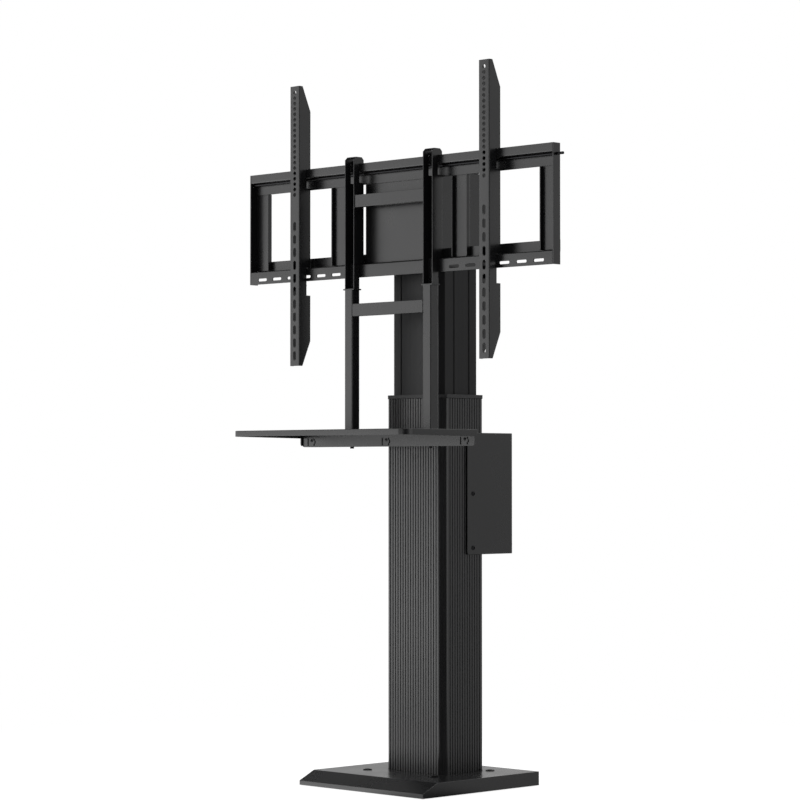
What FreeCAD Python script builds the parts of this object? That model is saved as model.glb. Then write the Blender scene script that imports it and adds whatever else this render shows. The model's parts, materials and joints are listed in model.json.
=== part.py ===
import FreeCAD, Part
import os
import re
import Sketcher
from FreeCAD import Placement, Rotation, Vector

# A motorized floor stand for a large display, in millimetres.
# The origin is on the floor under the column's axis, +Z is up, and the display side faces -Y.
# Sizes called front, back or rear are distances from the column's axis, before or behind it.
# Sizes called top, bottom or level are heights above the floor.

SIZES = {
    # base: a steel plate under a folded cover with a sloping front
    "base_width": 390,
    "base_front": 240,
    "base_top_front": 195,
    "base_back": 136,
    "base_height": 31.5,
    "base_lip": 10.8,
    "base_sheet": 2,
    "base_floor_gap": 0.4,
    "base_plate_thick": 10,
    "base_plate_gap": 1,
    "base_plate_setback": 14,
    "anchor_offset": 13,
    "anchor_front": 111,
    "anchor_rear": 69,
    "anchor_bore": 14,
    "anchor_sleeve": 20,
    "anchor_rise": 2,
    "base_clearance": 0.5,
    # outer column: a ribbed extrusion with plain chamfered corners
    "foot_thick": 12,
    "outer_width": 186,
    "outer_depth": 142,
    "outer_chamfer": 14,
    "outer_wall": 6,
    "outer_top": 874,
    "rib_pitch": 8,
    "rib_gap": 2.2,
    "rib_depth": 1.4,
    "rib_margin": 5,
    "collar_height": 8,
    "collar_overhang": 1,
    "collar_clearance": 0.8,
    # inner column: a smooth extrusion with two shallow grooves in each face
    "column_step_x": 12.5,
    "column_step_y": 9.5,
    "inner_chamfer": 10,
    "inner_wall": 5,
    "inner_bottom": 310,
    "column_drop": 30,
    "top_plate_thick": 6,
    "groove_width": 8,
    "groove_depth": 1.5,
    "groove_inset_x": 35.5,
    "groove_inset_y": 37,
    "glide_width": 30,
    "glide_height": 70,
    "glide_spread": 40,
    "glide_clearance": 0.3,
    # spindle drive inside the column
    "spindle_size": 20,
    "spindle_bottom": 300,
    "spindle_clearance": 0.05,
    "spindle_shoulder": 34,
    "spindle_shoulder_height": 12,
    "spindle_seat": 20,
    "nut_level": 700,
    "nut_height": 30,
    "nut_tube_size": 42,
    "nut_tube_wall": 5,
    "nut_flange_size": 70,
    "nut_flange_thick": 8,
    "drive_rise": 34,
    "drive_plate_thick": 6,
    "drive_plate_depth": 90,
    "gearbox_width": 90,
    "gearbox_depth": 70,
    "gearbox_height": 50,
    "gearbox_edge": 6,
    "motor_size": 64,
    "motor_gap": 15,
    "motor_cap": 18,
    "motor_cap_step": 4,
    # rear cover round the control unit
    "cover_gap": 4,
    "cover_sheet": 2,
    "cover_front": 3,
    "cover_back": 157,
    "cover_bottom": 521,
    "cover_height": 275,
    "cover_bend": 9,
    "cover_corner": 6,
    "cover_edge": 1.5,
    "cover_screw_inset": 19,
    "cover_screw_end": 15,
    "cover_screw_bore": 5.5,
    "cover_spacer": 12,
    "control_width": 140,
    "control_depth": 55,
    "control_height": 236,
    "control_lift": 22,
    "control_edge": 4,
    "inlet_width": 32,
    "inlet_depth": 26,
    "inlet_height": 14,
    "inlet_wall": 3,
    "inlet_offset": 35,
    # display frame: two folded rails, four channel uprights and a centre plate
    "frame_width": 960,
    "frame_front": 134,
    "frame_depth": 20,
    "frame_bottom": 1150,
    "frame_height": 260,
    "frame_sheet": 3,
    "frame_bend": 2.5,
    "frame_fit": 0.2,
    "top_lip": 20,
    "top_band": 27,
    "bottom_lip": 27,
    "bottom_band": 27,
    "outer_upright_width": 51,
    "window_inner": 215,
    "upright_width": 47,
    "upright_hem": 8,
    "slot_length": 30,
    "slot_width": 6.5,
    "slot_rise": 10.5,
    "slot_pitch": 50,
    "slot_end": 43,
    "slot_count": 6,
    "centre_width": 219,
    "lock_bar_size": 6,
    "lock_bar_reach": 19,
    "lock_bar_drop": 0.5,
    "lock_bar_setback": 10,
    # head brackets between the inner column and the frame
    "cheek_thick": 4,
    "cheek_back": 60,
    "cheek_rise": 20,
    "cheek_drop": 25,
    "cheek_step": 8,
    # display arms hooked on the top rail
    "arm_spread": 600,
    "arm_width": 32,
    "arm_depth": 35.5,
    "arm_front": 158,
    "arm_length": 650,
    "arm_middle": 1278,
    "arm_sheet": 2.5,
    "arm_taper": 58,
    "arm_tip": 10.5,
    "arm_bore": 8.5,
    "arm_pitch": 12.5,
    "arm_holes": 20,
    "arm_hole_end": 15,
    "arm_slot": 21,
    "arm_slot_pitch": 30,
    "arm_slots": 11,
    "arm_slot_end": 23.5,
    "notch_height": 33,
    "notch_drop": 24,
    "hook_clearance": 0.6,
    "hook_seat": 0.3,
    "hook_nose_gap": 3,
    "lock_size": 6,
    "lock_head": 11,
    "lock_head_height": 4,
    "lock_drop": 9,
    "lock_tab_height": 26,
    "lock_tab_gap": 4,
    "lock_reach": 16,
    "lock_bore_clearance": 0.3,
    # shelf hanger: hook channels, tubes and cross bars
    "hook_spread": 248,
    "hook_width": 30,
    "hook_depth": 32,
    "hook_front": 152,
    "hook_sheet": 2,
    "hook_bottom": 1124,
    "hook_rise": 15,
    "hook_corner": 7,
    "bar_height": 28,
    "bar_depth": 15,
    "bar_wall": 2,
    "bar_setback": 2,
    "upper_bar_level": 1309,
    "lower_bar_level": 1061,
    "seat_width": 35,
    "seat_thick": 3,
    "tube_width": 25,
    "tube_depth": 24,
    "tube_front": 155.2,
    "tube_wall": 2,
    "tube_edge": 2.5,
    "plug_height": 20,
    "plug_fit": 0.1,
    # shelf: a folded tray on an angle bracket
    "shelf_width": 555,
    "shelf_front": 376,
    "shelf_top": 800,
    "shelf_edge": 13,
    "shelf_taper": 2.5,
    "shelf_bend": 1.5,
    "shelf_sheet": 2,
    "shelf_corner": 26,
    "shelf_fit": 0.3,
    "bracket_sheet": 2.5,
    "bracket_bottom": 764.5,
    "bracket_reach": 130,
    "bracket_toe": 24,
    "bracket_toe_end": 14,
    "bracket_corner": 9,
    "bracket_rim": 4.5,
    "lance_spread": 242,
    "lance_gap": 18,
    "lance_width": 5,
    "lance_tail": 3,
    "lance_height": 17,
    "lance_depth": 1.8,
    "lance_bore": 5.4,
    "lance_bore_rise": 3.5,
    "tube_screw": 6,
    "tube_screw_head": 9,
    "tube_screw_rise": 4,
}

# Heights and depths that several pieces share, as expressions on the sizes.
FOOT_TOP = "(base_plate_thick + foot_thick)"
ANCHOR_LINE = "(outer_width / 2 + anchor_offset)"
INNER_WIDTH = "(outer_width - 2 * column_step_x)"
INNER_DEPTH = "(outer_depth - 2 * column_step_y)"
INNER_TOP = "(frame_bottom + frame_height - column_drop)"
DRIVE_LEVEL = "(frame_bottom + drive_rise)"
FRAME_TOP = "(frame_bottom + frame_height)"
TOP_STEP = "(frame_bottom + frame_height - top_lip)"
TOP_BAND_END = "(frame_bottom + frame_height - top_lip - top_band)"
BOTTOM_STEP = "(frame_bottom + bottom_lip)"
BOTTOM_STEP_TOP = "(frame_bottom + bottom_lip + frame_sheet)"
WEB_BOTTOM = "(frame_bottom + bottom_lip + frame_sheet + frame_bend + frame_fit)"
WEB_FRONT = "(frame_front - frame_depth)"
WEB_BACK = "(frame_front - frame_depth - frame_sheet)"
BAND_FRONT = "(frame_front - frame_depth + frame_sheet)"
LOW_BAND_BACK = "(frame_front - frame_depth - 2 * frame_sheet)"
HEM_FRONT = "(frame_front - frame_depth + upright_hem)"
BAR_DEPTH_LINE = "(frame_front - lock_bar_setback)"
BAR_LEVEL = "(frame_bottom + frame_height - top_lip - lock_bar_drop - lock_bar_size / 2)"
GEAR_BOTTOM = "(frame_bottom + drive_rise + drive_plate_thick)"
GEAR_TOP = "(frame_bottom + drive_rise + drive_plate_thick + gearbox_height)"
WINDOW_OUTER = "(frame_width / 2 - outer_upright_width)"
SLOT_FIRST = "(frame_width / 2 - slot_end - (slot_count - 1) * slot_pitch)"
ARM_BOTTOM = "(arm_middle - arm_length / 2)"
ARM_TOP = "(arm_middle + arm_length / 2)"
ARM_BACK = "(arm_front - arm_depth)"
HOOK_TOP = "(frame_bottom + frame_height + hook_rise)"
HOOK_BACK = "(hook_front - hook_depth)"
LOCK_LEVEL = "(frame_bottom - lock_drop)"
LOCK_TAB_BACK = "(frame_front + lock_tab_gap)"
TUBE_BOTTOM = "(bracket_bottom + bracket_sheet)"
TUBE_MIDDLE = "(tube_front - tube_depth / 2)"
SHELF_BOTTOM = "(shelf_top - shelf_edge)"
SHELF_UNDERSIDE = "(shelf_top - shelf_sheet)"
BRACKET_FRONT = "(tube_front + bracket_sheet)"
COVER_SIDE = "(outer_width / 2 + cover_gap)"
COVER_TOP = "(cover_bottom + cover_height)"
CONTROL_BOTTOM = "(cover_bottom + control_lift)"
SIDES = {"left": -1, "right": 1}
BEYOND = "10"

doc = FreeCAD.newDocument("display_lift_stand")
sheet = doc.addObject("Spreadsheet::Sheet", "Dim")
for row, (alias, number) in enumerate(SIZES.items(), start=1):
    sheet.set(f"A{row}", alias)
    sheet.set(f"B{row}", str(number))
    sheet.setAlias(f"B{row}", alias)
doc.recompute()

WORD = re.compile(r"[a-z]\w*")
nodes = {}


def named(text):
    """Puts the sheet's name before each size in an expression."""
    return WORD.sub(lambda word: f"Dim.{word[0]}" if word[0] in SIZES else word[0], str(text))


def value(text):
    """Works an expression on the sizes out to a number."""
    numbers = WORD.sub(lambda word: f"({sheet.get(word[0])})" if word[0] in SIZES else word[0], str(text))
    return FreeCAD.Units.Quantity(numbers).Value


def keep(name, item):
    """Registers an object as one of the stand's pieces."""
    item.Label = name
    nodes[name] = item
    return item


def new_body(name):
    """Starts a piece that is built from sketches."""
    return keep(name, doc.addObject("PartDesign::Body", name))


def sketch_on(body, role, offset="0"):
    """Attaches an empty sketch to one of the body's own planes, moved along the plane's normal."""
    sketch = body.newObject("Sketcher::SketchObject", f"{body.Name}_sketch")
    plane = next(item for item in body.Origin.OriginFeatures if item.Role == role)
    sketch.AttachmentSupport = [(plane, "")]
    sketch.MapMode = "FlatFace"
    sketch.setExpression("AttachmentOffset.Base.z", named(offset))
    return sketch


def bound(sketch, kind, text, *places):
    """Adds a dimension that follows the sheet."""
    index = sketch.addConstraint(Sketcher.Constraint(kind, *places, value(text)))
    sketch.setExpression(f"Constraints[{index}]", named(text))


def outline(sketch, *corners):
    """Draws a closed straight outline whose corners follow the sheet."""
    first = sketch.GeometryCount
    count = len(corners)
    points = [Vector(value(u), value(v), 0) for u, v in corners]
    for index, point in enumerate(points):
        sketch.addGeometry(Part.LineSegment(point, points[(index + 1) % count]))
    for index, (u, v) in enumerate(corners):
        following = first + (index + 1) % count
        sketch.addConstraint(Sketcher.Constraint("Coincident", first + index, 2, following, 1))
        bound(sketch, "DistanceX", u, -1, 1, first + index, 1)
        bound(sketch, "DistanceY", v, -1, 1, first + index, 1)


def rectangle(sketch, left, right, low, high):
    """Draws a rectangle between two pairs of lines."""
    outline(sketch, (left, low), (right, low), (right, high), (left, high))


def octagon(sketch, width, depth, chamfer):
    """Draws a rectangle about the column's axis with its four corners cut off."""
    across, along = f"({width}) / 2", f"({depth}) / 2"
    short_x, short_y = f"{across} - ({chamfer})", f"{along} - ({chamfer})"
    outline(sketch, (f"-({short_x})", f"-{along}"), (short_x, f"-{along}"), (across, f"-({short_y})"),
            (across, short_y), (short_x, along), (f"-({short_x})", along),
            (f"-{across}", short_y), (f"-{across}", f"-({short_y})"))


def circle(sketch, u, v, diameter):
    """Draws a circle."""
    middle = Vector(value(u), value(v), 0)
    index = sketch.addGeometry(Part.Circle(middle, Vector(0, 0, 1), value(diameter) / 2))
    bound(sketch, "DistanceX", u, -1, 1, index, 3)
    bound(sketch, "DistanceY", v, -1, 1, index, 3)
    bound(sketch, "Diameter", diameter, index)


def slot(sketch, u, v, length, width, upright):
    """Draws a slot with round ends, lying or upright."""
    reach = f"(({length}) - ({width})) / 2"
    radius = value(width) / 2
    shift = Vector(0, 1, 0) if upright else Vector(1, 0, 0)
    middle = Vector(value(u), value(v), 0)
    across = Vector(-shift.y, shift.x, 0)
    ends = [middle + shift * value(reach) * sign for sign in (1, -1)]
    first = sketch.GeometryCount
    for end, sign in zip(ends, (1, -1)):
        aside, outward = across * radius * sign, shift * radius * sign
        sketch.addGeometry(Part.Arc(end - aside, end + outward, end + aside))
    sketch.addGeometry(Part.LineSegment(ends[0] + across * radius, ends[1] + across * radius))
    sketch.addGeometry(Part.LineSegment(ends[1] - across * radius, ends[0] - across * radius))
    for one, one_end, other, other_end in ((0, 2, 2, 1), (2, 2, 1, 1), (1, 2, 3, 1), (3, 2, 0, 1)):
        sketch.addConstraint(Sketcher.Constraint("Tangent", first + one, one_end, first + other, other_end))
    for index, sign in ((0, "+"), (1, "-")):
        bound(sketch, "DistanceX", u if upright else f"{u} {sign} {reach}", -1, 1, first + index, 3)
        bound(sketch, "DistanceY", f"{v} {sign} {reach}" if upright else v, -1, 1, first + index, 3)
    bound(sketch, "Radius", f"({width}) / 2", first)
    sketch.addConstraint(Sketcher.Constraint("Equal", first, first + 1))


def pad(body, sketch, length):
    """Raises a sketch along its normal."""
    feature = body.newObject("PartDesign::Pad", f"{body.Name}_pad")
    feature.Profile = sketch
    feature.setExpression("Length", named(length))
    sketch.Visibility = False
    doc.recompute()
    return feature


def pierce(body, sketch):
    """Cuts a sketch right through the body, both ways."""
    before = body.Shape.Volume
    feature = body.newObject("PartDesign::Pocket", f"{body.Name}_pocket")
    feature.Profile = sketch
    feature.Type = "ThroughAll"
    feature.SideType = "Symmetric"
    doc.recompute()
    if not feature.Shape.Volume < before:
        raise RuntimeError(f"{body.Label}: a cut removed nothing")
    return feature


def sink(body, sketch, depth):
    """Cuts a sketch into the body along its normal."""
    before = body.Shape.Volume
    feature = body.newObject("PartDesign::Pocket", f"{body.Name}_pocket")
    feature.Profile = sketch
    feature.Reversed = True
    feature.setExpression("Length", named(depth))
    doc.recompute()
    if not feature.Shape.Volume < before:
        raise RuntimeError(f"{body.Label}: a recess removed nothing")
    return feature


def pattern(body, feature, sketch, axis, pitch, count):
    """Repeats a feature in a row along one of its sketch's axes."""
    row_of = body.newObject("PartDesign::LinearPattern", f"{body.Name}_row")
    row_of.Originals = [feature]
    row_of.Direction = (sketch, [axis])
    row_of.setExpression("Length", named(f"({pitch}) * (({count}) - 1)"))
    row_of.setExpression("Occurrences", named(count))
    body.Tip = row_of
    doc.recompute()
    return row_of


def turn(body, sketch):
    """Turns a sketch on the XZ plane once round the column's axis."""
    feature = body.newObject("PartDesign::Revolution", f"{body.Name}_turn")
    feature.Profile = sketch
    feature.ReferenceAxis = (sketch, ["V_Axis"])
    feature.Angle = 360
    doc.recompute()
    return feature


def edges_along(shape, axis, *places):
    """Names the edges along an axis that pass through the given places on the other two."""
    keys = [key for key in "xyz" if key != axis]
    targets = [tuple(value(text) for text in place) for place in places]
    found = []
    for index, edge in enumerate(shape.Edges, start=1):
        ends = [vertex.Point for vertex in edge.Vertexes]
        if len(ends) != 2 or any(abs(getattr(ends[0], key) - getattr(ends[1], key)) > 1e-6 for key in keys):
            continue
        here = tuple(getattr(ends[0], key) for key in keys)
        if any(max(abs(a - b) for a, b in zip(here, target)) < 1e-4 for target in targets):
            found.append(f"Edge{index}")
    return found


def rounded(body, radius, axis, *places):
    """Rounds the body's edges along an axis at the given places."""
    base = body.Tip
    names = edges_along(base.Shape, axis, *places)
    if not names:
        raise RuntimeError(f"{body.Label}: no edge to round")
    feature = body.newObject("PartDesign::Fillet", f"{body.Name}_round")
    feature.Base = (base, names)
    feature.setExpression("Radius", named(radius))
    doc.recompute()
    return feature


def shelled(body, wall, *sides):
    """Hollows the body to a sheet, open at the faces whose outward directions are given."""
    base = body.Tip
    open_faces = []
    for index, face in enumerate(base.Shape.Faces, start=1):
        normal = face.normalAt(0, 0)
        if any((normal - side).Length < 1e-6 for side in sides):
            open_faces.append(f"Face{index}")
    feature = body.newObject("PartDesign::Thickness", f"{body.Name}_shell")
    feature.Base = (base, open_faces)
    feature.setExpression("Value", named(wall))
    feature.Reversed = True
    feature.Join = "Intersection"
    doc.recompute()
    return feature


def block(name, x, y, z):
    """Makes a box between pairs of limits."""
    box = doc.addObject("Part::Box", name)
    for size, (low, high), key in (("Length", x, "x"), ("Width", y, "y"), ("Height", z, "z")):
        box.setExpression(size, named(f"({high}) - ({low})"))
        box.setExpression(f"Placement.Base.{key}", named(low))
    return box


def rod(name, axis, diameter, length, start):
    """Makes a round bar from a start point along +X, +Y or +Z."""
    bar = doc.addObject("Part::Cylinder", name)
    turns = {"x": Rotation(Vector(0, 1, 0), 90), "y": Rotation(Vector(1, 0, 0), -90), "z": Rotation()}
    bar.Placement = Placement(Vector(), turns[axis])
    bar.setExpression("Radius", named(f"({diameter}) / 2"))
    bar.setExpression("Height", named(length))
    for key, text in zip("xyz", start):
        bar.setExpression(f"Placement.Base.{key}", named(text))
    return bar


def joined(name, *items):
    """Fuses several shapes into one solid."""
    fused = doc.addObject("Part::MultiFuse", name)
    fused.Shapes = list(items)
    fused.Refine = True
    return fused


def less(name, base, tool):
    """Cuts one shape out of another."""
    left_over = doc.addObject("Part::Cut", name)
    left_over.Base = base
    left_over.Tool = tool
    return left_over


def group(name, items):
    """Keeps separate alike solids together as one piece of the list."""
    bundle = doc.addObject("Part::Compound", name)
    bundle.Links = list(items)
    return keep(name, bundle)


def anchor_places():
    """Gives the four places where the base is bolted down."""
    lines = ("-anchor_front", "anchor_rear")
    return [(f"{side} * {ANCHOR_LINE}", line) for side in SIDES.values() for line in lines]


def base_plate():
    """The steel plate on the floor, with four anchor holes."""
    body = new_body("base_plate")
    sketch = sketch_on(body, "XY_Plane")
    half = "base_width / 2 - base_sheet - base_plate_gap"
    rectangle(sketch, f"-({half})", half, "-(base_front - base_plate_setback)",
              "base_back - base_sheet - base_plate_gap")
    pad(body, sketch, "base_plate_thick")
    holes = sketch_on(body, "XY_Plane")
    for x, y in anchor_places():
        circle(holes, x, y, "anchor_bore")
    pierce(body, holes)


def base_cover():
    """The folded cover with its sloping front, open below, for the column and the anchors to pass through."""
    body = new_body("base_cover")
    side = sketch_on(body, "YZ_Plane", "-base_width / 2")
    outline(side, ("-base_front", "base_floor_gap"), ("base_back", "base_floor_gap"),
            ("base_back", "base_height"), ("-base_top_front", "base_height"), ("-base_front", "base_lip"))
    pad(body, side, "base_width")
    shelled(body, "base_sheet", Vector(0, 0, -1))
    holes = sketch_on(body, "XY_Plane")
    octagon(holes, "outer_width + 2 * base_clearance", "outer_depth + 2 * base_clearance", "outer_chamfer")
    for x, y in anchor_places():
        circle(holes, x, y, "anchor_sleeve + 2 * base_clearance")
    pierce(body, holes)


def anchor_sleeves():
    """Four sleeves that carry the anchor bolts' heads through the cover."""
    body = new_body("anchor_sleeves")
    sketch = sketch_on(body, "XY_Plane", "base_plate_thick")
    for x, y in anchor_places():
        circle(sketch, x, y, "anchor_sleeve")
        circle(sketch, x, y, "anchor_bore")
    pad(body, sketch, "base_height + anchor_rise - base_plate_thick")


def column_foot():
    """The plate that the outer column stands on."""
    body = new_body("column_foot")
    sketch = sketch_on(body, "XY_Plane", "base_plate_thick")
    octagon(sketch, "outer_width", "outer_depth", "outer_chamfer")
    pad(body, sketch, "foot_thick")


def outer_profile():
    """The fixed column: a tube with ribbed flats and plain chamfers."""
    body = new_body("outer_profile")
    section = sketch_on(body, "XY_Plane", FOOT_TOP)
    octagon(section, "outer_width", "outer_depth", "outer_chamfer")
    octagon(section, "outer_width - 2 * outer_wall", "outer_depth - 2 * outer_wall",
            "outer_chamfer - outer_wall * (2 - sqrt(2))")
    pad(body, section, f"outer_top - {FOOT_TOP}")
    faces = (("outer_width", "H_Axis", "outer_depth"), ("outer_depth", "V_Axis", "outer_width"))
    for flat, axis, across in faces:
        room = value(f"{flat} - 2 * outer_chamfer - 2 * rib_margin - rib_gap")
        count = int(room // value("rib_pitch")) + 1
        grooves = sketch_on(body, "XY_Plane", FOOT_TOP)
        middle = f"-({count} - 1) / 2 * rib_pitch"
        along = (f"{middle} - rib_gap / 2", f"{middle} + rib_gap / 2")
        floor, open_side = f"{across} / 2 - rib_depth", f"{across} / 2 + {BEYOND}"
        for depth in ((f"-({open_side})", f"-({floor})"), (floor, open_side)):
            limits = along + depth if axis == "H_Axis" else depth + along
            rectangle(grooves, *limits)
        pattern(body, pierce(body, grooves), grooves, axis, "rib_pitch", count)


def outer_collar():
    """The plastic collar on top of the fixed column, which the inner column passes through."""
    body = new_body("outer_collar")
    sketch = sketch_on(body, "XY_Plane", "outer_top")
    octagon(sketch, "outer_width + 2 * collar_overhang", "outer_depth + 2 * collar_overhang", "outer_chamfer")
    octagon(sketch, f"{INNER_WIDTH} + 2 * collar_clearance", f"{INNER_DEPTH} + 2 * collar_clearance",
            "inner_chamfer")
    pad(body, sketch, "collar_height")


def glide_pads(name, low, near_x, far_x, near_y, far_y):
    """Makes six sliding pads in the gap between the two columns, from one wall towards the other."""
    height = (low, f"{low} + glide_height")
    pads = []
    for side in SIDES.values():
        edge = [f"{side} * ({near_x})", f"{side} * ({far_x})"]
        x = tuple(edge if side > 0 else reversed(edge))
        pads.append(block(f"{name}_pad", x, ("-glide_width / 2", "glide_width / 2"), height))
        edge = [f"{side} * ({near_y})", f"{side} * ({far_y})"]
        y = tuple(edge if side > 0 else reversed(edge))
        for shift in SIDES.values():
            middle = f"{shift} * glide_spread / 2"
            x = (f"{middle} - glide_width / 2", f"{middle} + glide_width / 2")
            pads.append(block(f"{name}_pad", x, y, height))
    group(name, pads)


def glides():
    """The pads at the top of the fixed column and at the bottom of the moving one."""
    cavity_x, cavity_y = "outer_width / 2 - outer_wall", "outer_depth / 2 - outer_wall"
    glide_pads("outer_glides", "outer_top - glide_height", f"{INNER_WIDTH} / 2 + glide_clearance", cavity_x,
               f"{INNER_DEPTH} / 2 + glide_clearance", cavity_y)
    glide_pads("inner_glides", "inner_bottom", f"{INNER_WIDTH} / 2", f"{cavity_x} - glide_clearance",
               f"{INNER_DEPTH} / 2", f"{cavity_y} - glide_clearance")


def inner_profile():
    """The moving column: a smooth tube with two shallow grooves in each face."""
    body = new_body("inner_profile")
    section = sketch_on(body, "XY_Plane", "inner_bottom")
    octagon(section, INNER_WIDTH, INNER_DEPTH, "inner_chamfer")
    octagon(section, f"{INNER_WIDTH} - 2 * inner_wall", f"{INNER_DEPTH} - 2 * inner_wall",
            "inner_chamfer - inner_wall * (2 - sqrt(2))")
    pad(body, section, f"{INNER_TOP} - inner_bottom")
    grooves = sketch_on(body, "XY_Plane", "inner_bottom")
    for side in SIDES.values():
        for end in SIDES.values():
            x, y = f"{side} * ({INNER_WIDTH} / 2 - groove_inset_x)", f"{end} * {INNER_DEPTH} / 2"
            rectangle(grooves, f"{x} - groove_width / 2", f"{x} + groove_width / 2",
                      f"{y} - {end} * groove_depth", f"{y} + {end} * groove_depth")
            x, y = f"{side} * {INNER_WIDTH} / 2", f"{end} * ({INNER_DEPTH} / 2 - groove_inset_y)"
            rectangle(grooves, f"{x} - {side} * groove_depth", f"{x} + {side} * groove_depth",
                      f"{y} - groove_width / 2", f"{y} + groove_width / 2")
    pierce(body, grooves)


def inner_top_plate():
    """The plate that closes the moving column's top."""
    body = new_body("inner_top_plate")
    sketch = sketch_on(body, "XY_Plane", INNER_TOP)
    octagon(sketch, INNER_WIDTH, INNER_DEPTH, "inner_chamfer")
    pad(body, sketch, "top_plate_thick")


def drive():
    """The spindle drive: motor and gearbox in the moving column, nut on a tube from the foot."""
    tube = new_body("nut_tube")
    sketch = sketch_on(tube, "XZ_Plane")
    bore, outside = "nut_tube_size / 2 - nut_tube_wall", "nut_tube_size / 2"
    flange, flange_top = "nut_flange_size / 2", f"{FOOT_TOP} + nut_flange_thick"
    outline(sketch, (bore, FOOT_TOP), (flange, FOOT_TOP), (flange, flange_top), (outside, flange_top),
            (outside, "nut_level"), (bore, "nut_level"))
    turn(tube, sketch)
    nut = new_body("drive_nut")
    sketch = sketch_on(nut, "XZ_Plane")
    running_bore = "spindle_size / 2 + spindle_clearance"
    rectangle(sketch, running_bore, outside, "nut_level", "nut_level + nut_height")
    turn(nut, sketch)
    spindle = new_body("spindle")
    sketch = sketch_on(spindle, "XZ_Plane")
    shoulder_top = f"{DRIVE_LEVEL} - glide_clearance"
    shoulder_low = f"{shoulder_top} - spindle_shoulder_height"
    spindle_top = f"{GEAR_BOTTOM} + spindle_seat - glide_clearance"
    outline(sketch, ("0", "spindle_bottom"), ("spindle_size / 2", "spindle_bottom"),
            ("spindle_size / 2", shoulder_low), ("spindle_shoulder / 2", shoulder_low),
            ("spindle_shoulder / 2", shoulder_top), ("spindle_size / 2", shoulder_top),
            ("spindle_size / 2", spindle_top), ("0", spindle_top))
    turn(spindle, sketch)
    plate = new_body("drive_plate")
    sketch = sketch_on(plate, "XY_Plane", DRIVE_LEVEL)
    half = f"{INNER_WIDTH} / 2 - inner_wall"
    rectangle(sketch, f"-({half})", half, "-drive_plate_depth / 2", "drive_plate_depth / 2")
    circle(sketch, "0", "0", f"2 * ({running_bore})")
    pad(plate, sketch, "drive_plate_thick")
    gearbox = new_body("gearbox")
    sketch = sketch_on(gearbox, "XY_Plane", GEAR_BOTTOM)
    rectangle(sketch, "-gearbox_width / 2", "gearbox_width / 2", "-gearbox_depth / 2", "gearbox_depth / 2")
    pad(gearbox, sketch, "gearbox_height")
    corners = [(f"{x} * gearbox_width / 2", f"{y} * gearbox_depth / 2") for x in (-1, 1) for y in (-1, 1)]
    rounded(gearbox, "gearbox_edge", "z", *corners)
    seat = sketch_on(gearbox, "XY_Plane", GEAR_BOTTOM)
    circle(seat, "0", "0", f"2 * ({running_bore})")
    sink(gearbox, seat, "spindle_seat")
    motor = new_body("drive_motor")
    sketch = sketch_on(motor, "XZ_Plane")
    motor_top = f"{INNER_TOP} - motor_gap"
    can_top = f"{motor_top} - motor_cap"
    cap = "motor_size / 2 - motor_cap_step"
    outline(sketch, ("0", GEAR_TOP), ("motor_size / 2", GEAR_TOP), ("motor_size / 2", can_top),
            (cap, can_top), (cap, motor_top), ("0", motor_top))
    turn(motor, sketch)


def cover_screw_levels():
    """Gives the heights of the rear cover's three screws."""
    return ("cover_bottom + cover_screw_end", "cover_bottom + cover_height / 2",
            f"{COVER_TOP} - cover_screw_end")


def rear_cover():
    """The folded cover behind the column, its two cheeks screwed to the column's sides on spacers."""
    body = new_body("rear_cover")
    sketch = sketch_on(body, "XY_Plane", "cover_bottom")
    inside, outside = COVER_SIDE, f"({COVER_SIDE} + cover_sheet)"
    outline(sketch, (f"-{outside}", "cover_front"), (f"-{inside}", "cover_front"),
            (f"-{inside}", "cover_back - cover_sheet"), (inside, "cover_back - cover_sheet"),
            (inside, "cover_front"), (outside, "cover_front"), (outside, "cover_back"),
            (f"-{outside}", "cover_back"))
    pad(body, sketch, "cover_height")
    rounded(body, "cover_bend", "z", (f"-{outside}", "cover_back"), (outside, "cover_back"))
    rounded(body, "cover_bend - cover_sheet", "z", (f"-{inside}", "cover_back - cover_sheet"),
            (inside, "cover_back - cover_sheet"))
    rounded(body, "cover_corner", "x", ("cover_front", "cover_bottom"), ("cover_front", COVER_TOP))
    rounded(body, "cover_edge", "y", (outside, "cover_bottom"), (outside, COVER_TOP))
    holes = sketch_on(body, "YZ_Plane")
    for level in cover_screw_levels():
        circle(holes, "cover_front + cover_screw_inset", level, "cover_screw_bore")
    pierce(body, holes)
    spacers = []
    for side in SIDES.values():
        start = "outer_width / 2" if side > 0 else f"-{COVER_SIDE}"
        for level in cover_screw_levels():
            place = (start, "cover_front + cover_screw_inset", level)
            ring = rod("spacer_ring", "x", "cover_spacer", "cover_gap", place)
            bore = rod("spacer_bore", "x", "cover_screw_bore", "cover_gap", place)
            spacers.append(less("spacer", ring, bore))
    group("cover_spacers", spacers)


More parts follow.
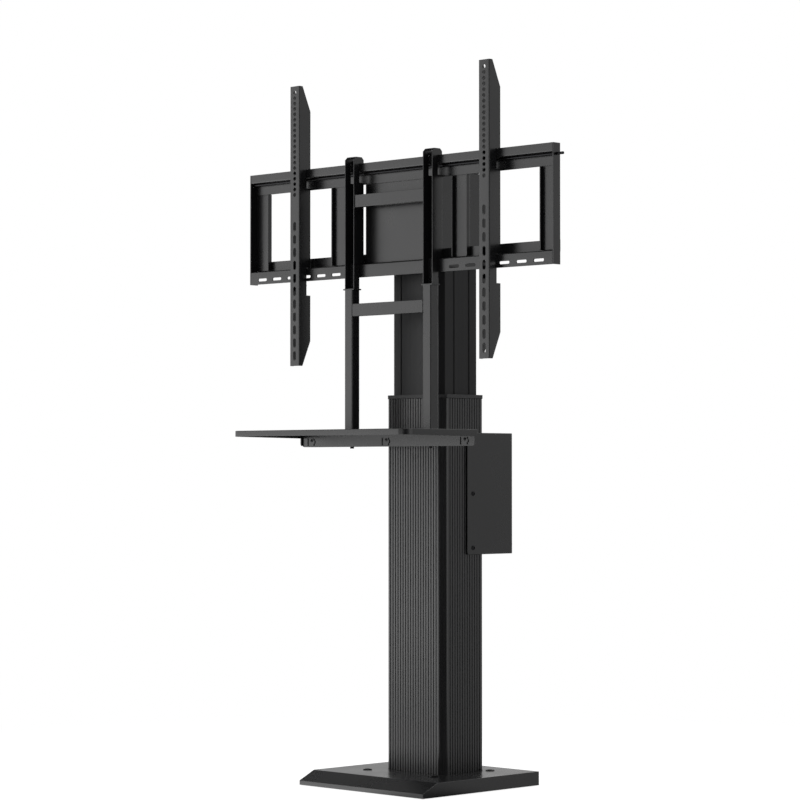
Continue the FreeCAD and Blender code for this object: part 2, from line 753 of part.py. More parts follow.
def control_unit():
    """The control unit on the column's back, with the mains inlet in its underside."""
    body = new_body("control_unit")
    sketch = sketch_on(body, "XY_Plane", CONTROL_BOTTOM)
    back = "outer_depth / 2 + control_depth"
    rectangle(sketch, "-control_width / 2", "control_width / 2", "outer_depth / 2", back)
    pad(body, sketch, "control_height")
    rounded(body, "control_edge", "z", ("-control_width / 2", back), ("control_width / 2", back))
    inlet = new_body("mains_inlet")
    low = f"{CONTROL_BOTTOM} - inlet_height"
    middle = "outer_depth / 2 + control_depth / 2"
    sketch = sketch_on(inlet, "XY_Plane", low)
    rectangle(sketch, "inlet_offset - inlet_width / 2", "inlet_offset + inlet_width / 2",
              f"{middle} - inlet_depth / 2", f"{middle} + inlet_depth / 2")
    pad(inlet, sketch, "inlet_height")
    recess = sketch_on(inlet, "XY_Plane", low)
    rectangle(recess, "inlet_offset - inlet_width / 2 + inlet_wall",
              "inlet_offset + inlet_width / 2 - inlet_wall",
              f"{middle} - inlet_depth / 2 + inlet_wall", f"{middle} + inlet_depth / 2 - inlet_wall")
    sink(inlet, recess, "inlet_height - inlet_wall")


def rail(name, corners, bends):
    """Makes a folded rail of the frame's full width from its side profile."""
    body = new_body(name)
    half = "(frame_width / 2 - frame_sheet - frame_fit)"
    sketch = sketch_on(body, "YZ_Plane", f"-{half}")
    outline(sketch, *corners)
    pad(body, sketch, f"2 * {half}")
    rounded(body, "frame_bend", "x", *bends)
    return body


def rails():
    """The top rail, whose lip carries the hooks, and the bottom rail with its slotted lip."""
    lip_back = "-(frame_front - frame_sheet)"
    step_top = f"{TOP_STEP} + frame_sheet"
    corners = (("-frame_front", TOP_STEP), (f"-{BAND_FRONT}", TOP_STEP), (f"-{BAND_FRONT}", TOP_BAND_END),
               (f"-{WEB_FRONT}", TOP_BAND_END), (f"-{WEB_FRONT}", step_top), (lip_back, step_top),
               (lip_back, FRAME_TOP), ("-frame_front", FRAME_TOP))
    rail("top_rail", corners, (corners[0], corners[1], corners[4], corners[5]))
    corners = (("-frame_front", "frame_bottom"), (lip_back, "frame_bottom"), (lip_back, BOTTOM_STEP),
               (f"-{LOW_BAND_BACK}", BOTTOM_STEP), (f"-{LOW_BAND_BACK}", f"{BOTTOM_STEP} + bottom_band"),
               (f"-{WEB_BACK}", f"{BOTTOM_STEP} + bottom_band"), (f"-{WEB_BACK}", BOTTOM_STEP_TOP),
               ("-frame_front", BOTTOM_STEP_TOP))
    body = rail("bottom_rail", corners, (corners[2], corners[3], corners[6], corners[7]))
    slots = sketch_on(body, "XZ_Plane")
    for first in (SLOT_FIRST, f"-{SLOT_FIRST} - (slot_count - 1) * slot_pitch"):
        slot(slots, first, "frame_bottom + slot_rise", "slot_length", "slot_width", upright=False)
    pattern(body, pierce(body, slots), slots, "H_Axis", "slot_pitch", "slot_count")


def uprights():
    """The four channel uprights, open to the front, and the locking bar through the outer two."""
    for word, side in SIDES.items():
        outer = new_body(f"{word}_outer_upright")
        section = sketch_on(outer, "XY_Plane", "frame_bottom")
        end, end_inside = f"{side} * frame_width / 2", f"{side} * (frame_width / 2 - frame_sheet)"
        hem, hem_inside = f"{side} * {WINDOW_OUTER}", f"{side} * ({WINDOW_OUTER} + frame_sheet)"
        outline(section, (end, "-frame_front"), (end, f"-{WEB_BACK}"), (hem, f"-{WEB_BACK}"),
                (hem, f"-{HEM_FRONT}"), (hem_inside, f"-{HEM_FRONT}"), (hem_inside, f"-{WEB_FRONT}"),
                (end_inside, f"-{WEB_FRONT}"), (end_inside, "-frame_front"))
        pad(outer, section, "frame_height")
        rounded(outer, "frame_bend", "z", (end, f"-{WEB_BACK}"))
        trim = sketch_on(outer, "XZ_Plane")
        clear = f"{side} * ({WINDOW_OUTER} - {BEYOND})"
        rectangle(trim, clear, end_inside, f"frame_bottom - {BEYOND}", WEB_BOTTOM)
        outline(trim, (clear, f"{TOP_BAND_END} - frame_fit"), (hem_inside, f"{TOP_BAND_END} - frame_fit"),
                (hem_inside, TOP_STEP), (end_inside, TOP_STEP), (end_inside, f"{FRAME_TOP} + {BEYOND}"),
                (clear, f"{FRAME_TOP} + {BEYOND}"))
        pierce(outer, trim)
        bar_hole = sketch_on(outer, "YZ_Plane")
        circle(bar_hole, f"-{BAR_DEPTH_LINE}", BAR_LEVEL, "lock_bar_size + 2 * frame_fit")
        pierce(outer, bar_hole)
        inner = new_body(f"{word}_inner_upright")
        section = sketch_on(inner, "XY_Plane", WEB_BOTTOM)
        near, far = f"{side} * (window_inner - upright_width)", f"{side} * window_inner"
        near_inside = f"{side} * (window_inner - upright_width + frame_sheet)"
        far_inside = f"{side} * (window_inner - frame_sheet)"
        outline(section, (near, f"-{HEM_FRONT}"), (near_inside, f"-{HEM_FRONT}"),
                (near_inside, f"-{WEB_FRONT}"), (far_inside, f"-{WEB_FRONT}"), (far_inside, f"-{HEM_FRONT}"),
                (far, f"-{HEM_FRONT}"), (far, f"-{WEB_BACK}"), (near, f"-{WEB_BACK}"))
        pad(inner, section, f"{TOP_STEP} - {WEB_BOTTOM}")
        rounded(inner, "frame_bend", "z", (near, f"-{WEB_BACK}"), (far, f"-{WEB_BACK}"))
        trim = sketch_on(inner, "YZ_Plane")
        rectangle(trim, f"-{HEM_FRONT} - {BEYOND}", f"-{WEB_FRONT}", f"{TOP_BAND_END} - frame_fit",
                  f"{TOP_STEP} + {BEYOND}")
        pierce(inner, trim)
    length = "frame_width + lock_bar_reach"
    keep("locking_bar", rod("locking_bar", "x", "lock_bar_size", length,
                            ("-frame_width / 2", f"-{BAR_DEPTH_LINE}", BAR_LEVEL)))


def head():
    """The centre plate behind the rails and the two brackets that fix it to the inner column's sides."""
    plate = new_body("centre_plate")
    sketch = sketch_on(plate, "XZ_Plane", WEB_BACK)
    rectangle(sketch, "-centre_width / 2", "centre_width / 2", WEB_BOTTOM, TOP_STEP)
    pad(plate, sketch, "frame_sheet")
    low, high = "frame_bottom + cheek_rise", f"{FRAME_TOP} - cheek_drop"
    for word, side in SIDES.items():
        body = new_body(f"{word}_head_bracket")
        section = sketch_on(body, "XY_Plane", low)
        near, far = f"{side} * {INNER_WIDTH} / 2", f"{side} * ({INNER_WIDTH} / 2 + cheek_thick)"
        tip = f"{side} * centre_width / 2"
        flange_back = f"-({WEB_BACK} - cheek_thick)"
        outline(section, (near, f"-{WEB_BACK}"), (tip, f"-{WEB_BACK}"), (tip, flange_back),
                (far, flange_back), (far, "cheek_back"), (near, "cheek_back"))
        pad(body, section, f"{high} - ({low})")
        rounded(body, "cheek_thick", "z", (near, f"-{WEB_BACK}"))
        cuts = sketch_on(body, "YZ_Plane")
        rectangle(cuts, f"-{WEB_BACK} - {BEYOND}", f"-({LOW_BAND_BACK} - cheek_step)", f"{low} - {BEYOND}",
                  f"{BOTTOM_STEP} + bottom_band + frame_sheet")
        pierce(body, cuts)


def hook_cut(sketch, back):
    """Draws the throat that drops over the top rail's lip, with room below it to lift the hook off."""
    throat_front = "-(frame_front + hook_clearance)"
    throat_back = "-(frame_front - frame_sheet - hook_clearance)"
    nose_low = f"{TOP_STEP} + frame_sheet + hook_nose_gap"
    roof = f"{FRAME_TOP} + hook_seat"
    room_low = f"{TOP_STEP} - notch_drop"
    outline(sketch, (back, room_low), (throat_front, room_low), (throat_front, roof), (throat_back, roof),
            (throat_back, nose_low), (back, nose_low))


def arms():
    """The two display arms with their rows of holes, and the screws that lock them under the frame."""
    for word, side in SIDES.items():
        body = new_body(f"{word}_arm")
        body.setExpression("Placement.Base.x", named(f"{side} * arm_spread / 2"))
        section = sketch_on(body, "XY_Plane", ARM_BOTTOM)
        half, half_in = "arm_width / 2", "(arm_width / 2 - arm_sheet)"
        front, front_in, back = "-arm_front", "-(arm_front - arm_sheet)", f"-{ARM_BACK}"
        outline(section, (f"-{half}", front), (half, front), (half, back), (half_in, back),
                (half_in, front_in), (f"-{half_in}", front_in), (f"-{half_in}", back), (f"-{half}", back))
        pad(body, section, "arm_length")
        rounded(body, "arm_sheet", "z", (f"-{half}", front), (half, front))
        cuts = sketch_on(body, "YZ_Plane")
        clear = f"-({ARM_BACK} - {BEYOND})"
        tip = "-(arm_front - arm_tip)"
        outline(cuts, (tip, f"{ARM_BOTTOM} - {BEYOND}"), (clear, f"{ARM_BOTTOM} - {BEYOND}"),
                (clear, f"{ARM_BOTTOM} + arm_taper"), (back, f"{ARM_BOTTOM} + arm_taper"), (tip, ARM_BOTTOM))
        outline(cuts, (tip, f"{ARM_TOP} + {BEYOND}"), (tip, ARM_TOP), (back, f"{ARM_TOP} - arm_taper"),
                (clear, f"{ARM_TOP} - arm_taper"), (clear, f"{ARM_TOP} + {BEYOND}"))
        rectangle(cuts, "-(frame_front + hook_clearance)", clear, "frame_bottom - notch_height",
                  f"{BOTTOM_STEP_TOP} + hook_clearance")
        hook_cut(cuts, clear)
        pierce(body, cuts)
        holes = sketch_on(body, "XZ_Plane")
        circle(holes, "0", f"{ARM_TOP} - arm_hole_end - (arm_holes - 1) * arm_pitch", "arm_bore")
        pattern(body, pierce(body, holes), holes, "V_Axis", "arm_pitch", "arm_holes")
        slots = sketch_on(body, "XZ_Plane")
        slot(slots, "0", f"{ARM_BOTTOM} + arm_slot_end", "arm_slot", "arm_bore", upright=True)
        pattern(body, pierce(body, slots), slots, "V_Axis", "arm_slot_pitch", "arm_slots")
        tab = sketch_on(body, "XZ_Plane", LOCK_TAB_BACK)
        rectangle(tab, f"-{half_in}", half_in, f"{LOCK_LEVEL} - lock_tab_height / 2",
                  f"{LOCK_LEVEL} + lock_tab_height / 2")
        circle(tab, "0", LOCK_LEVEL, "lock_size + 2 * lock_bore_clearance")
        pad(body, tab, "arm_sheet")
        shank = rod(f"{word}_lock_shank", "y", "lock_size", "arm_sheet + lock_head_height + lock_reach",
                    ("0", f"-({LOCK_TAB_BACK} + arm_sheet + lock_head_height)", LOCK_LEVEL))
        top = rod(f"{word}_lock_head", "y", "lock_head", "lock_head_height",
                  ("0", f"-({LOCK_TAB_BACK} + arm_sheet + lock_head_height)", LOCK_LEVEL))
        screw = keep(f"{word}_arm_lock", joined(f"{word}_arm_lock", shank, top))
        screw.setExpression("Placement.Base.x", named(f"{side} * arm_spread / 2"))


def hanger():
    """The shelf's hanger: two hook channels on the frame, two tubes below them and two cross bars."""
    for word, side in SIDES.items():
        body = new_body(f"{word}_hook_channel")
        body.setExpression("Placement.Base.x", named(f"{side} * hook_spread / 2"))
        section = sketch_on(body, "XY_Plane", "hook_bottom")
        half, half_in = "hook_width / 2", "(hook_width / 2 - hook_sheet)"
        front, back, back_in = "-hook_front", f"-{HOOK_BACK}", f"-({HOOK_BACK} + hook_sheet)"
        outline(section, (f"-{half}", front), (f"-{half_in}", front), (f"-{half_in}", back_in),
                (half_in, back_in), (half_in, front), (half, front), (half, back), (f"-{half}", back))
        pad(body, section, f"{HOOK_TOP} - hook_bottom")
        rounded(body, "hook_sheet", "z", (f"-{half}", back), (half, back))
        step = f"{BOTTOM_STEP_TOP} + hook_clearance"
        lid = sketch_on(body, "XY_Plane", f"{HOOK_TOP} - hook_sheet")
        rectangle(lid, f"-{half_in}", half_in, front, back_in)
        pad(body, lid, "hook_sheet")
        cuts = sketch_on(body, "YZ_Plane")
        clear = f"-({HOOK_BACK} - {BEYOND})"
        rectangle(cuts, "-(frame_front + hook_clearance)", clear, f"hook_bottom - {BEYOND}", step)
        hook_cut(cuts, clear)
        for edge, inward, out in ((front, "+", "-"), (back, "-", "+")):
            corner, outside = f"{edge} {inward} hook_corner", f"{edge} {out} {BEYOND}"
            below, above = f"{HOOK_TOP} - hook_corner", f"{HOOK_TOP} + {BEYOND}"
            outline(cuts, (corner, HOOK_TOP), (edge, below), (outside, below), (outside, above),
                    (corner, above))
        pierce(body, cuts)
        joggle = sketch_on(body, "YZ_Plane", f"-{half_in}")
        low_web = "-(frame_front + hook_clearance)"
        low_web_front = f"{low_web} - hook_sheet"
        outline(joggle, (low_web_front, "hook_bottom"), (low_web, "hook_bottom"), (low_web, step),
                (back_in, step), (back_in, f"{step} + hook_sheet"), (low_web_front, f"{step} + hook_sheet"))
        pad(body, joggle, f"2 * {half_in}")
        tube = new_body(f"{word}_hanger_tube")
        tube.setExpression("Placement.Base.x", named(f"{side} * hook_spread / 2"))
        section = sketch_on(tube, "XY_Plane", TUBE_BOTTOM)
        tube_back = "-(tube_front - tube_depth)"
        rectangle(section, "-tube_width / 2", "tube_width / 2", "-tube_front", tube_back)
        rectangle(section, "-(tube_width / 2 - tube_wall)", "tube_width / 2 - tube_wall",
                  "-(tube_front - tube_wall)", f"{tube_back} - tube_wall")
        pad(tube, section, f"hook_bottom - seat_thick - {TUBE_BOTTOM}")
        corners = [(f"{x} * tube_width / 2", y) for x in (-1, 1) for y in ("-tube_front", tube_back)]
        rounded(tube, "tube_edge", "z", *corners)
    bars = (("upper_cross_bar", "upper_bar_level", "hook_front - bar_setback", "hook_width"),
            ("lower_cross_bar", "lower_bar_level", "tube_front", "tube_width"))
    for name, level, front, reach in bars:
        bar = new_body(name)
        half = f"(hook_spread / 2 - {reach} / 2)"
        section = sketch_on(bar, "YZ_Plane", f"-{half}")
        rectangle(section, f"-({front})", f"-({front} - bar_depth)", level, f"{level} + bar_height")
        rectangle(section, f"-({front} - bar_wall)", f"-({front} - bar_depth + bar_wall)",
                  f"{level} + bar_wall", f"{level} + bar_height - bar_wall")
        pad(bar, section, f"2 * {half}")
    seats, plugs, screws = [], [], []
    for side in SIDES.values():
        middle = f"{side} * hook_spread / 2"
        seats.append(block("seat", (f"{middle} - seat_width / 2", f"{middle} + seat_width / 2"),
                           ("-tube_front", "-(tube_front - tube_depth)"),
                           ("hook_bottom - seat_thick", "hook_bottom")))
        inside = "(tube_width / 2 - tube_wall - plug_fit)"
        plug = block("plug_block", (f"{middle} - {inside}", f"{middle} + {inside}"),
                     ("-(tube_front - tube_wall - plug_fit)",
                      "-(tube_front - tube_depth + tube_wall + plug_fit)"),
                     (TUBE_BOTTOM, f"{TUBE_BOTTOM} + plug_height"))
        bore = rod("plug_bore", "z", "tube_screw + 2 * plug_fit", "plug_height",
                   (middle, f"-{TUBE_MIDDLE}", TUBE_BOTTOM))
        plugs.append(less("plug", plug, bore))
        under = (middle, f"-{TUBE_MIDDLE}", "bracket_bottom - tube_screw_rise")
        head_of = rod("tube_screw_top", "z", "tube_screw_head", "tube_screw_rise", under)
        reach = "tube_screw_rise + bracket_sheet + plug_height / 2"
        shank = rod("tube_screw_shank", "z", "tube_screw", reach, under)
        screws.append(joined("tube_screw_bolt", head_of, shank))
    group("hanger_seats", seats)
    group("tube_plugs", plugs)
    group("tube_screws", screws)


def shelf():
    """The folded shelf tray and the bracket that carries it on the hanger's tubes."""
    bracket = new_body("shelf_bracket")
    half = "(shelf_width / 2 - shelf_sheet - shelf_fit)"
    inside = f"({half} - bracket_sheet)"
    flange_low = f"{SHELF_UNDERSIDE} - bracket_sheet"
    face = sketch_on(bracket, "XZ_Plane", "tube_front")
    rectangle(face, f"-{half}", half, "bracket_bottom", SHELF_UNDERSIDE)
    pad(bracket, face, "bracket_sheet + bracket_rim")
    corners = [(f"{side} * {half}", "bracket_bottom") for side in SIDES.values()]
    rounded(bracket, "bracket_corner", "y", *corners)
    pan = sketch_on(bracket, "XZ_Plane", BRACKET_FRONT)
    rectangle(pan, f"-{inside}", inside, f"bracket_bottom - {BEYOND}", flange_low)
    sink(bracket, pan, f"bracket_rim + {BEYOND}")
    flange = sketch_on(bracket, "XY_Plane", flange_low)
    rectangle(flange, f"-{half}", half, f"-({BRACKET_FRONT} + bracket_reach)", "-tube_front")
    pad(bracket, flange, "bracket_sheet")
    toe = sketch_on(bracket, "XY_Plane", "bracket_bottom")
    rectangle(toe, f"-({half} - bracket_toe_end)", f"{half} - bracket_toe_end", f"-{BRACKET_FRONT}",
              f"-({BRACKET_FRONT} - bracket_toe)")
    pad(bracket, toe, "bracket_sheet")
    bores = sketch_on(bracket, "XZ_Plane")
    lances = sketch_on(bracket, "XZ_Plane", f"{BRACKET_FRONT} - lance_depth")
    level = f"(bracket_bottom + {SHELF_BOTTOM}) / 2"
    for place in (-1, 0, 1):
        middle = f"{place} * lance_spread"
        circle(bores, middle, f"{level} + lance_bore_rise", "lance_bore")
        for side in SIDES.values():
            near = f"{middle} + {side} * lance_gap / 2"
            far = f"{middle} + {side} * (lance_gap / 2 + lance_width)"
            tail = f"{middle} + {side} * (lance_gap / 2 - lance_tail)"
            low, high = f"{level} - lance_height / 2", f"{level} + lance_height / 2"
            low_in, high_in = f"{low} + lance_width", f"{high} - lance_width"
            outline(lances, (tail, low), (far, low), (far, high), (tail, high), (tail, high_in),
                    (near, high_in), (near, low_in), (tail, low_in))
    pierce(bracket, bores)
    sink(bracket, lances, f"lance_depth + {BEYOND}")
    holes = sketch_on(bracket, "XY_Plane")
    for side in SIDES.values():
        circle(holes, f"{side} * hook_spread / 2", f"-{TUBE_MIDDLE}", "tube_screw + 2 * plug_fit")
    pierce(bracket, holes)
    tray = new_body("shelf_tray")
    low, back = f"{SHELF_BOTTOM} - shelf_taper", "-(tube_front + shelf_fit)"
    plan = sketch_on(tray, "XY_Plane", low)
    rectangle(plan, "-shelf_width / 2", "shelf_width / 2", "-shelf_front", back)
    pad(tray, plan, "shelf_edge + shelf_taper")
    corners = [(f"{side} * shelf_width / 2", "-shelf_front") for side in SIDES.values()]
    rounded(tray, "shelf_corner", "z", *corners)
    shelled(tray, "shelf_sheet", Vector(0, 0, -1), Vector(0, 1, 0))
    taper = sketch_on(tray, "YZ_Plane")
    before = f"-shelf_front - {BEYOND}"
    outline(taper, (before, SHELF_BOTTOM), ("-shelf_front", SHELF_BOTTOM), (back, low),
            (back, f"{low} - {BEYOND}"), (before, f"{low} - {BEYOND}"))
    pierce(tray, taper)
    rounded(tray, "shelf_bend", "x", ("-shelf_front", "shelf_top"))


def build():
    """Builds every piece, then checks and writes them."""
    for make in (base_plate, base_cover, anchor_sleeves, column_foot, outer_profile, outer_collar, glides,
                 inner_profile, inner_top_plate, drive, rear_cover, control_unit, rails, uprights, head, arms,
                 hanger, shelf):
        make()
    doc.recompute()
    for item in doc.Objects:
        if "Invalid" in item.State or "Error" in item.State:
            raise RuntimeError(f"{item.Label} did not build: {item.State}")
    for name, item in nodes.items():
        if item.Shape.isNull() or not item.Shape.isValid() or not item.Shape.Solids:
            raise RuntimeError(f"{name} has no sound solid")
    os.makedirs("parts", exist_ok=True)
    for name, item in nodes.items():
        item.Shape.exportStep(os.path.join("parts", f"{name}.step"))


build()
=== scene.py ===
"""Dresses a motorized display lift stand: finishes, fasteners, welds, studio light and camera.

Everything is in metres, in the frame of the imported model: +Z up, the stand's front towards -Y.
"""

import json
import logging
import math
from abc import ABC, abstractmethod
from dataclasses import dataclass, replace
from enum import Enum
from typing import Any, Sequence

import bmesh
import bpy
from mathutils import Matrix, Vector


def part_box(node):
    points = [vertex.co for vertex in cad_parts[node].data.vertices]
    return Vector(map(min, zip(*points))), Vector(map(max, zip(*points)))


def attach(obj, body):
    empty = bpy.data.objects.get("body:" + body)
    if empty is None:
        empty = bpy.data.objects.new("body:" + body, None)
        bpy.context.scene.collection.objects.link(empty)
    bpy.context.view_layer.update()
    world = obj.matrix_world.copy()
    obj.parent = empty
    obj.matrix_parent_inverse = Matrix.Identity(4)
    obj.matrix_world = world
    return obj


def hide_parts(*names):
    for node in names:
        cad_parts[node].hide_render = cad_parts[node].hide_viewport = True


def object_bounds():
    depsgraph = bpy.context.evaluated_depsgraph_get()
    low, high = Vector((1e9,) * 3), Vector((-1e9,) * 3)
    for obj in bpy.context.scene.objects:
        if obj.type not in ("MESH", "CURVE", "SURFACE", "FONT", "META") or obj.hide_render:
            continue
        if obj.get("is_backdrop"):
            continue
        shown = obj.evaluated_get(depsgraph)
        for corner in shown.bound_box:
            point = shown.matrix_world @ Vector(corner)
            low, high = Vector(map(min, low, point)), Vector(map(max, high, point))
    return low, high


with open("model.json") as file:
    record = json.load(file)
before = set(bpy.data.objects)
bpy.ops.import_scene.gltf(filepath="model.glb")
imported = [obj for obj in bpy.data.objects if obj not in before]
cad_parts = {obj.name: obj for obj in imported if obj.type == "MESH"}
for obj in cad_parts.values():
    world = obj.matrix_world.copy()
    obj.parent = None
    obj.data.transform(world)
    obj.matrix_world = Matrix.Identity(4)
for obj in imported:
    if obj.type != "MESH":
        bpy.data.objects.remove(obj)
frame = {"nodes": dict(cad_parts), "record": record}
CAD_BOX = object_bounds()
LOG = logging.getLogger("display_lift_stand")
MM = 0.001
SHARP = math.radians(35)  # edges bent by more are shaded sharp
FLAT = math.radians(0.5)  # faces bent by less are merged
MERGE_GAP = 0.001 * MM  # corners closer than this are joined
BEVEL_SEGMENTS = 3
ROUND_PROFILE = 0.5
SIDES = ("left", "right")
WHITE = (1.0, 1.0, 1.0, 1.0)
DRAWN_UP = (1.0, 1.0, 0.004)
DRAWN_ACROSS = (0.02, 1.0, 1.0)
Colour = tuple[float, float, float]
Span = tuple[float, float]


class Facing(Enum):
    """The direction that a fastener's head looks."""

    LEFT = (-1.0, 0.0, 0.0)
    RIGHT = (1.0, 0.0, 0.0)
    FRONT = (0.0, -1.0, 0.0)
    UP = (0.0, 0.0, 1.0)

    @property
    def vector(self) -> Vector:
        """The direction as a vector."""
        return Vector(self.value)


class Drive(Enum):
    """The recess in a fastener's head, by the number of its sides or arms."""

    HEX = 6
    CROSS = 4


@dataclass(frozen=True)
class Fade:
    """A smooth change from one level to another, held at its ends.

    Attributes:
        start: The measure at which the change starts.
        end: The measure at which it ends.
        first: The level at the start.
        last: The level at the end.
    """

    start: float
    end: float
    first: float = 0.0
    last: float = 1.0


@dataclass(frozen=True)
class Noise:
    """A noise pattern, about 0.5 on average.

    Attributes:
        scale: How many cells there are in a metre.
        detail: How many finer layers it has.
        roughness: How strong the finer layers are.
        stretch: A factor for each axis, which draws the pattern out along the smallest.
    """

    scale: float
    detail: float = 2.0
    roughness: float = 0.5
    stretch: Sequence[float] = (1.0, 1.0, 1.0)


class Value:
    """A node socket that takes part in arithmetic by adding Math nodes to its tree."""

    def __init__(self, graph: "Graph", socket: bpy.types.NodeSocket) -> None:
        """Keeps the graph and one of its sockets."""
        self.graph = graph
        self.socket = socket

    def _math(self, operation: str, first: "Value | float", second: "Value | float") -> "Value":
        """Adds one Math node and gives its result."""
        return self.graph.node("ShaderNodeMath", {0: first, 1: second}, operation=operation)

    def __add__(self, other: "Value | float") -> "Value":
        """Adds."""
        return self._math("ADD", self, other)

    def __sub__(self, other: "Value | float") -> "Value":
        """Subtracts."""
        return self._math("SUBTRACT", self, other)

    def __rsub__(self, other: float) -> "Value":
        """Subtracts from a number."""
        return self._math("SUBTRACT", other, self)

    def __mul__(self, other: "Value | float") -> "Value":
        """Multiplies."""
        return self._math("MULTIPLY", self, other)

    def __rmul__(self, other: float) -> "Value":
        """Multiplies a number."""
        return self._math("MULTIPLY", other, self)

    def mixed(self, other: "Value", share: float) -> "Value":
        """Mixes this value with another, by this value's share."""
        return share * self + (1.0 - share) * other

    def ramp(self, fade: Fade) -> "Value":
        """Gives the level that a fade has at this value."""
        inputs = {"Value": self, "From Min": fade.start, "From Max": fade.end,
                  "To Min": fade.first, "To Max": fade.last}
        return self.graph.node("ShaderNodeMapRange", inputs, interpolation_type="SMOOTHSTEP")


class Graph:
    """Adds nodes to one node tree and joins their sockets."""

    def __init__(self, tree: bpy.types.NodeTree) -> None:
        """Keeps the tree and empties it."""
        self.tree = tree
        tree.nodes.clear()

    def node(self, kind: str, inputs: dict[Any, Any] | None = None, output: Any = 0,
             **settings: Any) -> Value:
        """Adds a node.

        Args:
            kind: The node's type.
            inputs: Values, lists of values, numbers, vectors or colours by socket name or index.
            output: The name or index of the socket to hand back.
            **settings: Properties of the node itself.

        Returns:
            The chosen output, or the node's first input where it has no output.
        """
        node = self.tree.nodes.new(kind)
        for key, setting in settings.items():
            setattr(node, key, setting)
        for key, given in (inputs or {}).items():
            for one in given if isinstance(given, list) else [given]:
                if isinstance(one, Value):
                    self.tree.links.new(one.socket, node.inputs[key])
                else:
                    node.inputs[key].default_value = one
        return Value(self, node.outputs[output] if node.outputs else node.inputs[0])

    def noise(self, place: Value, pattern: Noise) -> Value:
        """Adds a noise pattern.

        Args:
            place: The coordinates.
            pattern: The pattern's settings.

        Returns:
            The pattern.
        """
        drawn = self.node("ShaderNodeMapping", {"Vector": place, "Scale": pattern.stretch})
        inputs = {"Vector": drawn, "Scale": pattern.scale, "Detail": pattern.detail,
                  "Roughness": pattern.roughness}
        return self.node("ShaderNodeTexNoise", inputs)

    def along(self, place: Value, direction: Vector) -> Value:
        """Measures coordinates along a unit vector."""
        inputs = {0: place, 1: tuple(direction)}
        return self.node("ShaderNodeVectorMath", inputs, output="Value", operation="DOT_PRODUCT")


@dataclass(frozen=True)
class Finish(ABC):
    """A surface finish that makes one procedural material.

    Attributes:
        slot: The record's material slot that it stands for.
        colour: The base colour.
        roughness: The mean roughness.
        specular: The level of its mirroring.
        metallic: 1 for bare metal and 0 for the rest.
        tones: What the colour is multiplied by at the low and the high end of its pattern.
        tone_span: That pattern's low and high end.
        glosses: What the roughness gains at the low and the high end of its pattern.
        gloss_span: That pattern's low and high end.
        strength: The share of the bump's effect.
        height: How high the bump stands.
    """

    slot: str
    colour: Colour
    roughness: float
    specular: float = 0.5
    metallic: float = 0.0
    tones: Span = (0.88, 1.12)
    tone_span: Fade = Fade(0.3, 0.7)
    glosses: Span = (-0.06, 0.06)
    gloss_span: Fade = Fade(0.3, 0.7)
    strength: float = 0.4
    height: float = 0.06 * MM

    @abstractmethod
    def patterns(self, graph: Graph, place: Value) -> tuple[Value, Value, Value]:
        """Makes what the finish varies by.

        Args:
            graph: The material's graph.
            place: Object coordinates.

        Returns:
            The patterns of its tone, its gloss and its bump.
        """

    def tinted(self, factor: float) -> tuple[float, ...]:
        """Gives the base colour multiplied by a factor, with its alpha."""
        return *(channel * factor for channel in self.colour), 1.0

    def material(self) -> bpy.types.Material:
        """Makes the material.

        Returns:
            The material.
        """
        material = bpy.data.materials.new(f"{self.slot}_finish")
        material.use_nodes = True
        graph = Graph(material.node_tree)
        tone, gloss, relief = self.patterns(graph, graph.node("ShaderNodeTexCoord", output="Object"))
        dark, light = map(self.tinted, self.tones)
        # A Mix node has its two colours in sockets 6 and 7, and their mixture in socket 2.
        shades = {0: tone.ramp(self.tone_span), 6: dark, 7: light}
        first, last = (self.roughness + gain for gain in self.glosses)
        bump = {"Height": relief, "Strength": self.strength, "Distance": self.height}
        surface = graph.node("ShaderNodeBsdfPrincipled", {
            "Base Color": graph.node("ShaderNodeMix", shades, output=2, data_type="RGBA"),
            "Roughness": gloss.ramp(replace(self.gloss_span, first=first, last=last)),
            "Normal": graph.node("ShaderNodeBump", bump),
            "Metallic": self.metallic,
            "Specular IOR Level": self.specular})
        graph.node("ShaderNodeOutputMaterial", {"Surface": surface})
        return material


@dataclass(frozen=True)
class PowderCoat(Finish):
    """Satin powder coat: a fine orange peel with faint clouds in its tone and gloss."""

    specular: float = 0.45
    tones: Span = (0.86, 1.14)
    tone_span: Fade = Fade(0.35, 0.65)
    glosses: Span = (0.03, -0.03)
    strength: float = 0.35
    height: float = 0.04 * MM
    cloud: Noise = Noise(7.0, 4.0, 0.55)
    peel: Noise = Noise(900.0, 2.0, 0.6)

    def patterns(self, graph: Graph, place: Value) -> tuple[Value, Value, Value]:
        """Makes the clouds and the orange peel."""
        cloud = graph.noise(place, self.cloud)
        return cloud, cloud, graph.noise(place, self.peel)


@dataclass(frozen=True)
class Anodised(Finish):
    """Anodised extrusion: fine upright lines from the die in its tone, gloss and surface.

    Attributes:
        lines: The fine lines in the gloss and surface.
        bands: Broader lines in the tone.
        cloud: Clouds in the tone.
        band_share: The bands' share of the tone, beside the clouds.
    """

    tones: Span = (0.82, 1.18)
    tone_span: Fade = Fade(0.35, 0.65)
    glosses: Span = (-0.05, 0.06)
    strength: float = 0.3
    height: float = 0.01 * MM
    lines: Noise = Noise(1500.0, 3.0, 0.6, stretch=DRAWN_UP)
    bands: Noise = Noise(125.0, stretch=DRAWN_UP)
    cloud: Noise = Noise(5.0, 3.0)
    band_share: float = 0.6

    def patterns(self, graph: Graph, place: Value) -> tuple[Value, Value, Value]:
        """Makes the lines, bands and clouds."""
        lines, bands, cloud = (graph.noise(place, one) for one in (self.lines, self.bands, self.cloud))
        return bands.mixed(cloud, self.band_share), lines, lines


